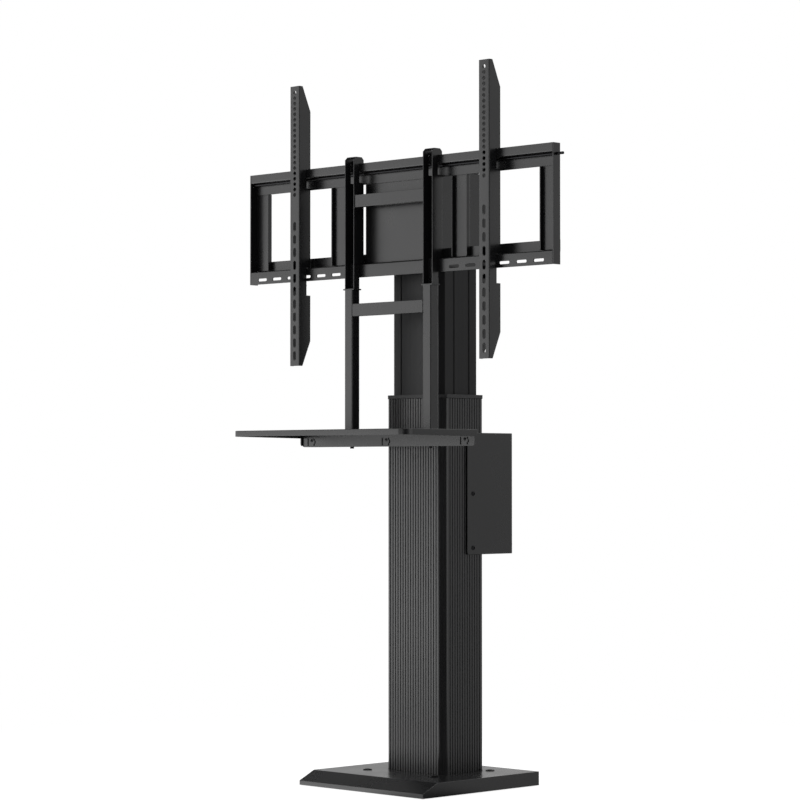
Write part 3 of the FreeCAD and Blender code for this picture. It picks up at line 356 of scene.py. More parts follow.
@dataclass(frozen=True)
class GrainedPlastic(Finish):
    """Moulded plastic with a fine spark-eroded grain and faint clouds in its tone."""

    gloss_span: Fade = Fade(0.0, 0.8)
    grains: float = 1400.0
    cloud: Noise = Noise(12.0, 3.0)

    def patterns(self, graph: Graph, place: Value) -> tuple[Value, Value, Value]:
        """Makes the clouds and the grain."""
        grain = graph.node("ShaderNodeTexVoronoi", {"Vector": place, "Scale": self.grains})
        return graph.noise(place, self.cloud), grain, grain


@dataclass(frozen=True)
class MachinedMetal(Finish):
    """Bare or thinly plated metal with turned or drawn lines along one axis.

    Attributes:
        lines: The lines in the gloss and surface.
        stain: Small clouds in the tone and gloss.
        line_share: The lines' share of the gloss, beside the stain.
    """

    metallic: float = 1.0
    tones: Span = (0.8, 1.1)
    glosses: Span = (-0.08, 0.1)
    strength: float = 0.25
    height: float = 0.02 * MM
    lines: Noise = Noise(1100.0, 3.0, stretch=DRAWN_ACROSS)
    stain: Noise = Noise(40.0, 4.0, 0.6)
    line_share: float = 0.5

    def patterns(self, graph: Graph, place: Value) -> tuple[Value, Value, Value]:
        """Makes the lines and the stain."""
        lines, stain = graph.noise(place, self.lines), graph.noise(place, self.stain)
        return stain, lines.mixed(stain, self.line_share), lines


FINISHES: tuple[Finish, ...] = (
    PowderCoat("coated_steel", (0.014, 0.014, 0.015), 0.28),
    Anodised("anodised_ribs", (0.015, 0.015, 0.016), 0.28),
    Anodised("anodised_tube", (0.015, 0.015, 0.016), 0.36, specular=0.20),
    GrainedPlastic("black_plastic", (0.012, 0.012, 0.013), 0.52),
    GrainedPlastic("glide_plastic", (0.55, 0.55, 0.52), 0.45),
    MachinedMetal("black_fasteners", (0.016, 0.016, 0.017), 0.34),
    MachinedMetal("bright_steel", (0.42, 0.42, 0.43), 0.30),
    MachinedMetal("nut_bronze", (0.50, 0.33, 0.15), 0.32),
)


class Finishes:
    """Makes each finish's material once and gives it to pieces."""

    def __init__(self) -> None:
        """Makes every material and reads which slot each node has."""
        self.materials = {finish.slot: finish.material() for finish in FINISHES}
        self.slots = {part["node"]: part["material_slot"] for part in frame["record"]["subparts"]}

    def of(self, slot: str) -> bpy.types.Material:
        """Gives a slot's material."""
        return self.materials[slot]

    def dress(self, node: str) -> None:
        """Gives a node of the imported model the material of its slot.

        Args:
            node: The node.
        """
        materials = frame["nodes"][node].data.materials
        materials.clear()
        materials.append(self.of(self.slots[node]))


def new_object(name: str, data: bpy.types.ID) -> bpy.types.Object:
    """Puts a mesh, a lamp or a camera into the scene as an object at the origin.

    Args:
        name: The object's name.
        data: Its mesh, lamp or camera.

    Returns:
        The object.
    """
    made = bpy.data.objects.new(name, data)
    bpy.context.scene.collection.objects.link(made)
    return made


def merged_copy(node: str) -> bmesh.types.BMesh:
    """Copies a node's mesh with its split corners joined and the facets of its flat faces merged.

    Args:
        node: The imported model's node.

    Returns:
        The copy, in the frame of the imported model.
    """
    source = frame["nodes"][node]
    shape = bmesh.new()
    shape.from_mesh(source.data)
    bmesh.ops.transform(shape, matrix=source.matrix_world, verts=shape.verts)
    bmesh.ops.remove_doubles(shape, verts=shape.verts, dist=MERGE_GAP)
    bmesh.ops.dissolve_limit(shape, angle_limit=FLAT, verts=shape.verts, edges=shape.edges)
    return shape


def round_edges(shape: bmesh.types.BMesh, width: float, low: float, high: float) -> None:
    """Rounds a shape's outer edges, with the roundings in a material index of their own.

    Args:
        shape: The shape.
        width: How wide the rounding is.
        low: The angle that an edge has to be bent by, in radians.
        high: The largest angle of such an edge.
    """
    edges = [edge for edge in shape.edges
             if edge.is_manifold and low < edge.calc_face_angle_signed() <= high]
    bmesh.ops.bevel(shape, geom=edges, offset=width, offset_type="OFFSET", segments=BEVEL_SEGMENTS,
                    profile=ROUND_PROFILE, affect="EDGES", clamp_overlap=False, material=1)


def shade(shape: bmesh.types.BMesh) -> None:
    """Shades a shape smooth, but keeps its bends and the rims of its roundings sharp.

    Args:
        shape: The shape, which gets one material index in the end.
    """
    for edge in shape.edges:
        bent = not edge.is_manifold or edge.calc_face_angle() > SHARP
        edge.smooth = not bent and len({face.material_index for face in edge.link_faces}) == 1
    for face in shape.faces:
        face.smooth = True
        face.material_index = 0


class GeometryRecipe:
    """A Geometry Nodes tree with named inputs, which turns an object's points into finished meshes."""

    FLOAT = "NodeSocketFloat"
    GEOMETRY = "NodeSocketGeometry"

    def __init__(self, name: str, *sizes: str) -> None:
        """Starts the tree.

        Args:
            name: The tree's name.
            *sizes: The names of its number inputs, besides the seed and the material.
        """
        self.tree = bpy.data.node_groups.new(name, "GeometryNodeTree")
        self.graph = Graph(self.tree)
        kinds = {"Geometry": self.GEOMETRY, **dict.fromkeys(sizes, self.FLOAT)}
        kinds |= {"Seed": "NodeSocketInt", "Material": "NodeSocketMaterial"}
        self.identifiers: dict[str, str] = {}
        for label, kind in kinds.items():
            made = self.tree.interface.new_socket(label, in_out="INPUT", socket_type=kind)
            self.identifiers[label] = made.identifier
        self.tree.interface.new_socket("Geometry", in_out="OUTPUT", socket_type=self.GEOMETRY)
        self.entry = self.tree.nodes.new("NodeGroupInput")

    def given(self, label: str) -> Value:
        """Gives one of the tree's inputs."""
        return Value(self.graph, self.entry.outputs[label])

    def random(self, span: Span) -> Value:
        """Draws a number for each point.

        Args:
            span: The smallest and the largest number.

        Returns:
            The number.
        """
        low, high = span
        # A Random Value node has its limits for floats in sockets 2 and 3, and the result in socket 1.
        inputs = {2: low, 3: high, "Seed": self.given("Seed")}
        return self.graph.node("FunctionNodeRandomValue", inputs, output=1, data_type="FLOAT")

    def close(self, geometry: Value) -> None:
        """Ends the tree by realizing the instances and setting the material.

        Args:
            geometry: What the tree has made.
        """
        solid = self.graph.node("GeometryNodeRealizeInstances", {"Geometry": geometry})
        inputs = {"Geometry": solid, "Material": self.given("Material")}
        coated = self.graph.node("GeometryNodeSetMaterial", inputs)
        self.graph.node("NodeGroupOutput", {"Geometry": coated})

    def apply(self, made: bpy.types.Object, material: bpy.types.Material, **sizes: float) -> None:
        """Runs the tree on an object and keeps the result as its mesh.

        Args:
            made: The object. The length of its name is the seed.
            material: The material.
            **sizes: The number inputs by their names.
        """
        modifier = made.modifiers.new(self.tree.name, "NODES")
        modifier.node_group = self.tree
        settings = {**sizes, "Seed": len(made.name), "Material": material}
        for label, given in settings.items():
            modifier[self.identifiers[label]] = given
        graph = bpy.context.evaluated_depsgraph_get()
        mesh = bpy.data.meshes.new_from_object(made.evaluated_get(graph))
        made.modifiers.clear()
        mesh.set_sharp_from_angle(angle=SHARP)
        made.data = mesh


class FastenerRecipe(GeometryRecipe):
    """Sets a domed screw head with a recess on every point, facing along the point's own direction.

    The shares are of the head's radius, its height and the recess's width.
    """

    VERTICES = 40
    TOP_SHARE = 0.62
    RIM_SHARE = 0.5
    CUT_SHARE = 1.1
    ARM_SHARE = 0.26

    def __init__(self, drive: Drive) -> None:
        """Builds the tree for one kind of recess.

        Args:
            drive: The recess.
        """
        super().__init__(f"fastener_{drive.name.lower()}", "Radius", "Height", "Recess")
        node, radius, height = self.graph.node, self.given("Radius"), self.given("Height")
        rim_height = self.RIM_SHARE * height
        rim = node("GeometryNodeMeshCylinder", {
            "Vertices": self.VERTICES, "Radius": radius, "Depth": rim_height}, output="Mesh")
        dome = node("GeometryNodeMeshCone", {
            "Vertices": self.VERTICES, "Radius Bottom": radius, "Radius Top": self.TOP_SHARE * radius,
            "Depth": (1.0 - self.RIM_SHARE) * height}, output="Mesh")
        head = self.joined(self.raised(rim, 0.5 * rim_height), self.raised(dome, rim_height))
        cut = self.raised(self.recess(drive), height)
        head = node("GeometryNodeMeshBoolean", {
            "Mesh 1": head, "Mesh 2": [cut]}, operation="DIFFERENCE", solver="EXACT")
        points = node("GeometryNodeMeshToPoints", {"Mesh": self.given("Geometry")})
        self.close(node("GeometryNodeInstanceOnPoints", {
            "Points": points, "Instance": head, "Rotation": self.rotation()}))

    def rotation(self) -> Value:
        """Turns a head to its point's direction and by a random angle about it.

        Returns:
            The rotation.
        """
        node = self.graph.node
        facing = node("GeometryNodeInputNamedAttribute", {"Name": "facing"}, data_type="FLOAT_VECTOR")
        turn = node("FunctionNodeAlignRotationToVector", {"Vector": facing}, axis="Z")
        about = node("FunctionNodeAxisAngleToRotation", {
            "Axis": Facing.UP.value, "Angle": self.random((0.0, math.tau))})
        return node("FunctionNodeRotateRotation", {
            "Rotation": turn, "Rotate By": about}, rotation_space="LOCAL")

    def joined(self, *meshes: Value) -> Value:
        """Makes one solid of several."""
        return self.graph.node("GeometryNodeMeshBoolean", {
            "Mesh 2": list(meshes)}, operation="UNION", solver="EXACT")

    def raised(self, mesh: Value, level: Value) -> Value:
        """Moves a mesh up to a level."""
        up = self.graph.node("ShaderNodeCombineXYZ", {"Z": level})
        return self.graph.node("GeometryNodeTransform", {"Geometry": mesh, "Translation": up})

    def recess(self, drive: Drive) -> Value:
        """Makes the shape that the driver's recess takes out of the head.

        Args:
            drive: The kind of recess.

        Returns:
            A mesh about the origin.
        """
        node, across = self.graph.node, self.given("Recess")
        deep = self.CUT_SHARE * self.given("Height")
        if drive is Drive.HEX:
            return node("GeometryNodeMeshCylinder", {
                "Vertices": drive.value, "Radius": 0.5 * across, "Depth": deep}, output="Mesh")
        bars = []
        for share_x, share_y in ((1.0, self.ARM_SHARE), (self.ARM_SHARE, 1.0)):
            size = node("ShaderNodeCombineXYZ", {"X": share_x * across, "Y": share_y * across, "Z": deep})
            bars.append(node("GeometryNodeMeshCube", {"Size": size}, output="Mesh"))
        return self.joined(*bars)


class BeadRecipe(GeometryRecipe):
    """Lays a rippled weld bead along the edges of an object's lines."""

    SEGMENTS = 14
    RINGS = 8
    SWELL = (0.85, 1.12)

    def __init__(self) -> None:
        """Builds the tree."""
        super().__init__("weld_bead", "Radius", "Pitch")
        node = self.graph.node
        line = node("GeometryNodeMeshToCurve", {"Mesh": self.given("Geometry")})
        points = node("GeometryNodeCurveToPoints", {
            "Curve": line, "Length": self.given("Pitch")}, mode="LENGTH")
        ball = {"Segments": self.SEGMENTS, "Rings": self.RINGS, "Radius": self.given("Radius")}
        ripple = node("GeometryNodeMeshUVSphere", ball, output="Mesh")
        self.close(node("GeometryNodeInstanceOnPoints", {
            "Points": points, "Instance": ripple, "Scale": self.random(self.SWELL)}))


@dataclass
class Workshop:
    """What the sub-assemblies share: the materials and the recipes for what repeats.

    Attributes:
        finishes: The materials.
        heads: Screw heads by their recess.
        beads: Weld beads.
    """

    finishes: Finishes
    heads: dict[Drive, FastenerRecipe]
    beads: BeadRecipe

    @classmethod
    def open(cls) -> "Workshop":
        """Makes the materials and the recipes."""
        return cls(Finishes(), {drive: FastenerRecipe(drive) for drive in Drive}, BeadRecipe())


@dataclass(frozen=True)
class ScrewSize:
    """The size of a screw's head.

    Attributes:
        drive: The recess.
        diameter: The head's diameter.
        height: The head's height.
        recess: The recess's width.
    """

    drive: Drive
    diameter: float
    height: float
    recess: float


@dataclass
class Subassembly(ABC):
    """A group of nodes that are dressed together, with the pieces that scene.py makes for them.

    Attributes:
        shop: The shared materials and recipes.
    """

    SCREW_SLOT = "black_fasteners"
    WELD_SLOT = "coated_steel"
    shop: Workshop

    @property
    @abstractmethod
    def nodes(self) -> Sequence[str]:
        """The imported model's nodes that it holds."""

    def build(self) -> list[bpy.types.Object]:
        """Makes the pieces, none unless a sub-assembly has its own."""
        return []

    def dress(self) -> None:
        """Gives each node its material."""
        for node in self.nodes:
            self.shop.finishes.dress(node)

    def screws(self, name: str, body: str, size: ScrewSize,
               places: Sequence[tuple[Vector, Facing]]) -> bpy.types.Object:
        """Makes a set of alike screw heads.

        Args:
            name: The piece's name.
            body: The body it moves with.
            size: The head's size.
            places: Where each head sits, and which way it faces.

        Returns:
            The piece.
        """
        mesh = bpy.data.meshes.new(name)
        mesh.from_pydata([place for place, _ in places], [], [])
        facing = mesh.attributes.new("facing", "FLOAT_VECTOR", "POINT")
        for entry, (_, side) in zip(facing.data, places):
            entry.vector = side.vector
        made = new_object(name, mesh)
        material = self.shop.finishes.of(self.SCREW_SLOT)
        self.shop.heads[size.drive].apply(
            made, material, Radius=size.diameter / 2, Height=size.height, Recess=size.recess)
        return self.finished(made, body, self.SCREW_SLOT)

    def welds(self, name: str, body: str, radius: float, pitch: float,
              lines: Sequence[tuple[Vector, Vector]]) -> bpy.types.Object:
        """Makes a set of weld beads.

        Args:
            name: The piece's name.
            body: The body it moves with.
            radius: The bead's radius.
            pitch: The distance from ripple to ripple.
            lines: The ends of each bead.

        Returns:
            The piece.
        """
        ends = [end for line in lines for end in line]
        mesh = bpy.data.meshes.new(name)
        mesh.from_pydata(ends, [(index, index + 1) for index in range(0, len(ends), 2)], [])
        made = new_object(name, mesh)
        material = self.shop.finishes.of(self.WELD_SLOT)
        self.shop.beads.apply(made, material, Radius=radius, Pitch=pitch)
        return self.finished(made, body, self.WELD_SLOT)

    def eased(self, node: str, radius: float, least_angle: float = 50.0,
              fold: float = 0.0) -> bpy.types.Object:
        """Makes a copy of a node with its outer edges rounded, and shows it in the node's place.

        Args:
            node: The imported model's node.
            radius: How wide the rounding is.
            least_angle: The smallest angle, in degrees, of an edge that gets this rounding.
            fold: How wide the rounding of flatter edges is, or 0 to leave them as they are.

        Returns:
            The piece.
        """
        bodies = frame["record"]["behaviour"]["bodies"]
        body = next(name for name, members in bodies.items() if node in members)
        shape = merged_copy(node)
        bend = math.radians(least_angle)
        if fold:
            round_edges(shape, fold, SHARP, bend)
        round_edges(shape, radius, bend, math.pi)
        shade(shape)
        mesh = frame["nodes"][node].data.copy()
        shape.to_mesh(mesh)
        shape.free()
        made = new_object(f"{node}_eased", mesh)
        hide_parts(node)
        return self.finished(made, body, self.shop.finishes.slots[node])

    def finished(self, made: bpy.types.Object, body: str, slot: str) -> bpy.types.Object:
        """Puts a piece on the body that it moves with."""
        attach(made, body)
        return made


@dataclass
class Base(Subassembly):
    """The floor plate, its folded cover and the anchor sleeves."""

    edge: float = 0.9 * MM
    least_fold: float = 20.0  # degrees

    @property
    def nodes(self) -> Sequence[str]:
        """The base's nodes."""
        return "base_plate", "base_cover", "anchor_sleeves", "column_foot"

    def build(self) -> list[bpy.types.Object]:
        """Rounds the cover's folds."""
        return [self.eased("base_cover", self.edge, self.least_fold)]


@dataclass
class Column(Subassembly):
    """The two telescopic extrusions with their collar and sliding pads, and a cap on the inner one.

    Attributes:
        rib_round: The rounding of the ribs.
        corner_round: The rounding of the outer extrusion's chamfered corners.
        cap_overlap: How far the cap reaches past the top plate at either side.
        cap_height: The cap's height.
        cap_chamfer: The chamfer of its corners.
        cap_round: The rounding of its rim.
        cap_segments: The steps in that rounding.
        screw: Its screws.
        screw_inset: How far the screws stand from its sides.
    """

    rib_round: float = 1.1 * MM
    corner_round: float = 2.5 * MM
    cap_overlap: float = 4.0 * MM
    cap_height: float = 8.0 * MM
    cap_chamfer: float = 5.0 * MM
    cap_round: float = 2.5 * MM
    cap_segments: int = 4
    screw: ScrewSize = ScrewSize(Drive.HEX, 10 * MM, 3.5 * MM, 5 * MM)
    screw_inset: float = 22 * MM

    @property
    def nodes(self) -> Sequence[str]:
        """The column's nodes."""
        outer = "outer_profile", "outer_collar", "outer_glides"
        return *outer, "inner_profile", "inner_glides", "inner_top_plate"

    def build(self) -> list[bpy.types.Object]:
        """Rounds the ribs and closes the inner column's top with a screwed cap.

        Returns:
            The rounded extrusion, the cap and its screws.
        """
        _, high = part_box("inner_top_plate")
        half_x, half_y, level = high.x + self.cap_overlap, high.y, high.z
        screw_x, screw_y = half_x - self.screw_inset, half_y - self.screw_inset
        places = [(Vector((x * screw_x, y * screw_y, level + self.cap_height)), Facing.UP)
                  for x in (-1, 1) for y in (-1, 1)]
        return [self.eased("outer_profile", self.rib_round, fold=self.corner_round),
                self.cap(half_x, half_y, level),
                self.screws("cap_screws", "lift", self.screw, places)]

    def cap(self, half_x: float, half_y: float, level: float) -> bpy.types.Object:
        """Makes the moulded cap on the inner column.

        Args:
            half_x: Half its width.
            half_y: Half its depth.
            level: The height that it lies at.

        Returns:
            The piece.
        """
        short_x, short_y = half_x - self.cap_chamfer, half_y - self.cap_chamfer
        quarter = [(half_x, short_y), (short_x, half_y)]
        corners = quarter + [(-x, y) for x, y in reversed(quarter)]
        corners += [(-x, -y) for x, y in corners]
        shape = bmesh.new()
        outline = [shape.verts.new((x, y, level)) for x, y in corners]
        raised = bmesh.ops.extrude_face_region(shape, geom=[shape.faces.new(outline)])
        lifted = [part for part in raised["geom"] if isinstance(part, bmesh.types.BMVert)]
        bmesh.ops.translate(shape, vec=(0.0, 0.0, self.cap_height), verts=lifted)
        rim = [edge for edge in shape.edges if all(vert in lifted for vert in edge.verts)]
        bmesh.ops.bevel(shape, geom=rim, offset=self.cap_round, segments=self.cap_segments,
                        profile=ROUND_PROFILE, affect="EDGES")
        bmesh.ops.recalc_face_normals(shape, faces=shape.faces)
        mesh = bpy.data.meshes.new("column_cap")
        shape.to_mesh(mesh)
        shape.free()
        mesh.shade_smooth()
        mesh.set_sharp_from_angle(angle=SHARP)
        mesh.materials.append(self.shop.finishes.of("black_plastic"))
        return self.finished(new_object("column_cap", mesh), "lift", "black_plastic")


@dataclass
class LiftDrive(Subassembly):
    """The motor, gearbox, spindle and nut inside the column."""

    @property
    def nodes(self) -> Sequence[str]:
        """The drive's nodes."""
        return "nut_tube", "drive_nut", "spindle", "drive_plate", "gearbox", "drive_motor"


@dataclass
class RearCover(Subassembly):
    """The folded cover behind the column, the control unit in it and the cover's screws.

    Attributes:
        screw: The screws.
        screw_inset: How far they stand from the cover's front edge.
        screw_end: How far the outer ones stand from its ends.
    """

    screw: ScrewSize = ScrewSize(Drive.CROSS, 10.5 * MM, 2.6 * MM, 5.0 * MM)
    screw_inset: float = 19 * MM
    screw_end: float = 15 * MM

    @property
    def nodes(self) -> Sequence[str]:
        """The cover's nodes."""
        return "rear_cover", "cover_spacers", "control_unit", "mains_inlet"

    def build(self) -> list[bpy.types.Object]:
        """Makes the three screws on each side.

        Returns:
            The screws, as one piece.
        """
        low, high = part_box("rear_cover")
        levels = low.z + self.screw_end, (low.z + high.z) / 2, high.z - self.screw_end
        places = [(Vector((x, low.y + self.screw_inset, level)), side)
                  for x, side in ((low.x, Facing.LEFT), (high.x, Facing.RIGHT)) for level in levels]
        return [self.screws("cover_screws", "base", self.screw, places)]


@dataclass
class MountFrame(Subassembly):
    """The mounting frame's rails, uprights, plate and locking bar, and the head brackets."""

    edge: float = 0.5 * MM

    @property
    def nodes(self) -> Sequence[str]:
        """The frame's nodes."""
        names = "outer_upright", "inner_upright", "head_bracket"
        return ("top_rail", "bottom_rail", "centre_plate", "locking_bar",
                *(f"{side}_{name}" for side in SIDES for name in names))

    def build(self) -> list[bpy.types.Object]:
        """Rounds the edges of the folded steel."""
        return [self.eased(node, self.edge) for node in self.nodes if node != "locking_bar"]


@dataclass
class Arms(Subassembly):
    """The two mounting arms with their locking screws."""

    edge: float = 0.5 * MM

    @property
    def nodes(self) -> Sequence[str]:
        """The arms' nodes."""
        return "left_arm", "right_arm", "left_arm_lock", "right_arm_lock"

    def build(self) -> list[bpy.types.Object]:
        """Rounds the arms' edges."""
        return [self.eased(f"{side}_arm", self.edge) for side in SIDES]


@dataclass
class Hanger(Subassembly):
    """The hook channels, tubes and cross bars that carry the shelf, welded together.

    Attributes:
        bead: The radius of a weld bead.
        bead_pitch: The distance from ripple to ripple.
        edge: The rounding of the folded steel.
    """

    bead: float = 1.6 * MM
    bead_pitch: float = 1.44 * MM
    edge: float = 0.5 * MM

    @property
    def nodes(self) -> Sequence[str]:
        """The hanger's nodes."""
        pairs = [f"{side}_{name}" for side in SIDES for name in ("hook_channel", "hanger_tube")]
        return "upper_cross_bar", "lower_cross_bar", "hanger_seats", "tube_plugs", "tube_screws", *pairs

    def build(self) -> list[bpy.types.Object]:
        """Rounds the folded steel and lays the beads where the cross bars and the tubes meet.

        Returns:
            The rounded pieces and the beads.
        """
        bars = "upper_cross_bar", "lower_cross_bar"
        lines = []
        for bar in bars:
            low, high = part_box(bar)
            lines += [(Vector((x, low.y, z)), Vector((x, high.y, z)))
                      for x in (low.x, high.x) for z in (low.z, high.z)]
        folded = "left_hook_channel", "right_hook_channel", *bars, "hanger_seats"
        return [*(self.eased(node, self.edge) for node in folded),
                self.welds("hanger_welds", "hanger", self.bead, self.bead_pitch, lines)]


@dataclass
class Shelf(Subassembly):
    """The shelf tray and its bracket, with a screw in each lanced place.

    Attributes:
        screw: The screws.
        lance_spread: How far the outer screws stand from the middle.
        lance_level: The screws' height above the floor.
        sheet: The thickness of the bracket, before the hanger's tubes.
        edge: The rounding of the tray.
    """

    screw: ScrewSize = ScrewSize(Drive.CROSS, 7.0 * MM, 1.4 * MM, 4.2 * MM)
    lance_spread: float = 242 * MM
    lance_level: float = 779.25 * MM
    sheet: float = 2.5 * MM
    edge: float = 0.4 * MM

    @property
    def nodes(self) -> Sequence[str]:
        """The shelf's nodes."""
        return "shelf_bracket", "shelf_tray"

    def build(self) -> list[bpy.types.Object]:
        """Rounds the tray and makes the bracket's screws.

        Returns:
            The rounded tray and the screws.
        """
        low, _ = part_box("left_hanger_tube")
        places = [(Vector((x, low.y - self.sheet, self.lance_level)), Facing.FRONT)
                  for x in (-self.lance_spread, 0.0, self.lance_spread)]
        return [self.eased("shelf_tray", self.edge),
                self.screws("shelf_screws", "hanger", self.screw, places)]


@dataclass(frozen=True)
class PhotoCamera:
    """The camera that a fit to the photo's straight edges gave.

    Attributes:
        azimuth: The angle of the view about the column, in radians.
        focal: The focal length in pixels.
        image: The picture's width and height in pixels.
        horizon: How far the horizon is below the picture's top, in pixels.
        depth: The level distance from the column's axis.
        offset: How far the camera stands to the left of the axis.
        height: The camera's height above the floor.
        sensor: The sensor's width in millimetres.
        reach: The farthest distance that it shows.
    """

    azimuth: float = math.radians(44.70)
    focal: float = 2769.64
    image: float = 800.0
    horizon: float = 471.55
    depth: float = 6.31444
    offset: float = 0.07989
    height: float = 0.70836
    sensor: float = 36.0
    reach: float = 100.0

    @property
    def near(self) -> Vector:
        """The level direction from the column to the camera."""
        return Vector((math.sin(self.azimuth), -math.cos(self.azimuth), 0.0))

    @property
    def right(self) -> Vector:
        """The level direction that is to the right in the picture."""
        return Vector((math.cos(self.azimuth), math.sin(self.azimuth), 0.0))

    def build(self) -> None:
        """Makes the camera and shows the scene through it."""
        data = bpy.data.cameras.new("camera")
        data.sensor_width = self.sensor
        data.lens = self.sensor * self.focal / self.image
        data.clip_end = self.reach
        made = new_object("camera", data)
        made.location = self.near * self.depth - self.right * self.offset
        made.location.z = self.height
        pitch = math.atan((self.horizon - self.image / 2) / self.focal)
        made.rotation_euler = (math.pi / 2 + pitch, 0.0, self.azimuth)
        bpy.context.scene.camera = made


@dataclass(frozen=True)
class Lamp:
    """A soft rectangular lamp.

    Attributes:
        name: The lamp's name.
        place: Where it hangs.
        aim: What it points at.
        size: Its width and height.
        power: Its power in watts.
    """

    name: str
    place: Sequence[float]
    aim: Sequence[float]
    size: Span
    power: float

    def build(self) -> None:
        """Hangs the lamp."""
        data = bpy.data.lights.new(self.name, "AREA")
        data.shape = "RECTANGLE"
        data.size, data.size_y = self.size
        data.energy = self.power
        made = new_object(self.name, data)
        made.location = self.place
        made.rotation_euler = (Vector(self.aim) - Vector(self.place)).to_track_quat("-Z", "Y").to_euler()


@dataclass(frozen=True)
class Backdrop(ABC):
    """A side of the studio that looks white to the camera and has its own brightness in reflections.

    Its fades run along the cosine of the angle to a direction, such as the picture's right.

    Attributes:
        view: The camera.
        left: The brightness at the left, along the picture's right.
        camera_half: Dims the right behind the stand, along the way to the camera.
        square: The brightness squarely before each face of the stand, along the match with a face.
    """

    view: PhotoCamera
    left: Fade = Fade(-0.8, -0.3, 1.4, 0.0)
    camera_half: Fade = Fade(-0.6, -0.15)
    square: Fade = Fade(0.4, 0.95, 0.0, 0.8)

    @abstractmethod
    def build(self) -> None:
        """Puts it into the scene."""

    def squarely(self, graph: Graph, direction: Value) -> Value:
        """Picks out the level directions that the stand's own faces look in.

        Args:
            graph: The graph.
            direction: A unit vector.

        Returns:
            What such a direction shows in reflections, and 0 half way between two of them.
        """
        across, deep = (graph.node("ShaderNodeSeparateXYZ", {"Vector": direction}, output=axis)
                        for axis in "XY")
        turned = across * across - deep * deep
        return (turned * turned).ramp(self.square)


@dataclass(frozen=True)
class Surround(Backdrop):
    """The world: white to the camera, an even grey light on the stand, and brighter parts in reflections.

    The fades of right, left and edge run along the picture's right, that of back runs along the way to
    the camera, and the others run along the height.

    Attributes:
        ambient: The level of the even light.
        right: The brightness at the right.
        horizon: Dims the right below the horizon.
        rise: Dims the right far above the horizon.
        below: Keeps the left to below the horizon.
        back: The brightness behind the stand.
        above: Keeps the back to above the horizon.
        edge: The brightness at the upper right, which edges mirror.
        edge_height: Keeps it high up.
        dome: The brightness overhead.
        steep_down: The brightness low down, for views from above.
        steep_up: The brightness a little way up, for views from below.
        low: Ends the square and steep parts high up.
    """

    ambient: float = 0.24
    right: Fade = Fade(0.1, 0.8, 0.02, 0.90)
    horizon: Fade = Fade(-0.02, 0.08, 0.68, 1.0)
    rise: Fade = Fade(0.1, 0.5, 1.0, 0.12)
    below: Fade = Fade(-0.02, -0.01, 1.0, 0.0)
    back: Fade = Fade(-0.96, -0.7, 0.62, 0.0)
    above: Fade = Fade(0.0, 0.06)
    edge: Fade = Fade(0.2, 0.55, 0.0, 2.0)
    edge_height: Fade = Fade(0.5, 0.7)
    dome: Fade = Fade(0.72, 0.9, 0.0, 0.7)
    steep_down: Fade = Fade(-0.3, -0.17, 0.6, 0.0)
    steep_up: Fade = Fade(0.17, 0.3, 0.0, 0.6)
    low: Fade = Fade(0.3, 0.5, 1.0, 0.0)

    def build(self) -> None:
        """Makes the world."""
        world = bpy.data.worlds.new("studio")
        bpy.context.scene.world = world
        world.use_nodes = True
        graph = Graph(world.node_tree)
        seen = graph.node("ShaderNodeLightPath", output="Is Camera Ray")
        glossy = graph.node("ShaderNodeLightPath", output="Is Glossy Ray")
        level = glossy * self.mirrored(graph) + (1.0 - glossy) * self.ambient
        background = graph.node("ShaderNodeBackground", {
            "Color": WHITE, "Strength": seen + (1.0 - seen) * level})
        graph.node("ShaderNodeOutputWorld", {"Surface": background})

    def mirrored(self, graph: Graph) -> Value:
        """Adds up what the world shows in reflections.

        Args:
            graph: The world's graph.

        Returns:
            The brightness in a ray's direction.
        """
        direction = graph.node("ShaderNodeTexCoord", output="Generated")
        height = graph.node("ShaderNodeSeparateXYZ", {"Vector": direction}, output="Z")
        across = graph.along(direction, self.view.right)
        near = graph.along(direction, self.view.near)
        right = across.ramp(self.right) * height.ramp(self.horizon) * height.ramp(self.rise)
        left = across.ramp(self.left) * height.ramp(self.below)
        back = near.ramp(self.back) * height.ramp(self.above)
        edges = across.ramp(self.edge) * height.ramp(self.edge_height)
        steep = height.ramp(self.steep_down) + height.ramp(self.steep_up)
        square = (self.squarely(graph, direction) + steep) * height.ramp(self.low)
        return right * near.ramp(self.camera_half) + left + back + edges + square + height.ramp(self.dome)


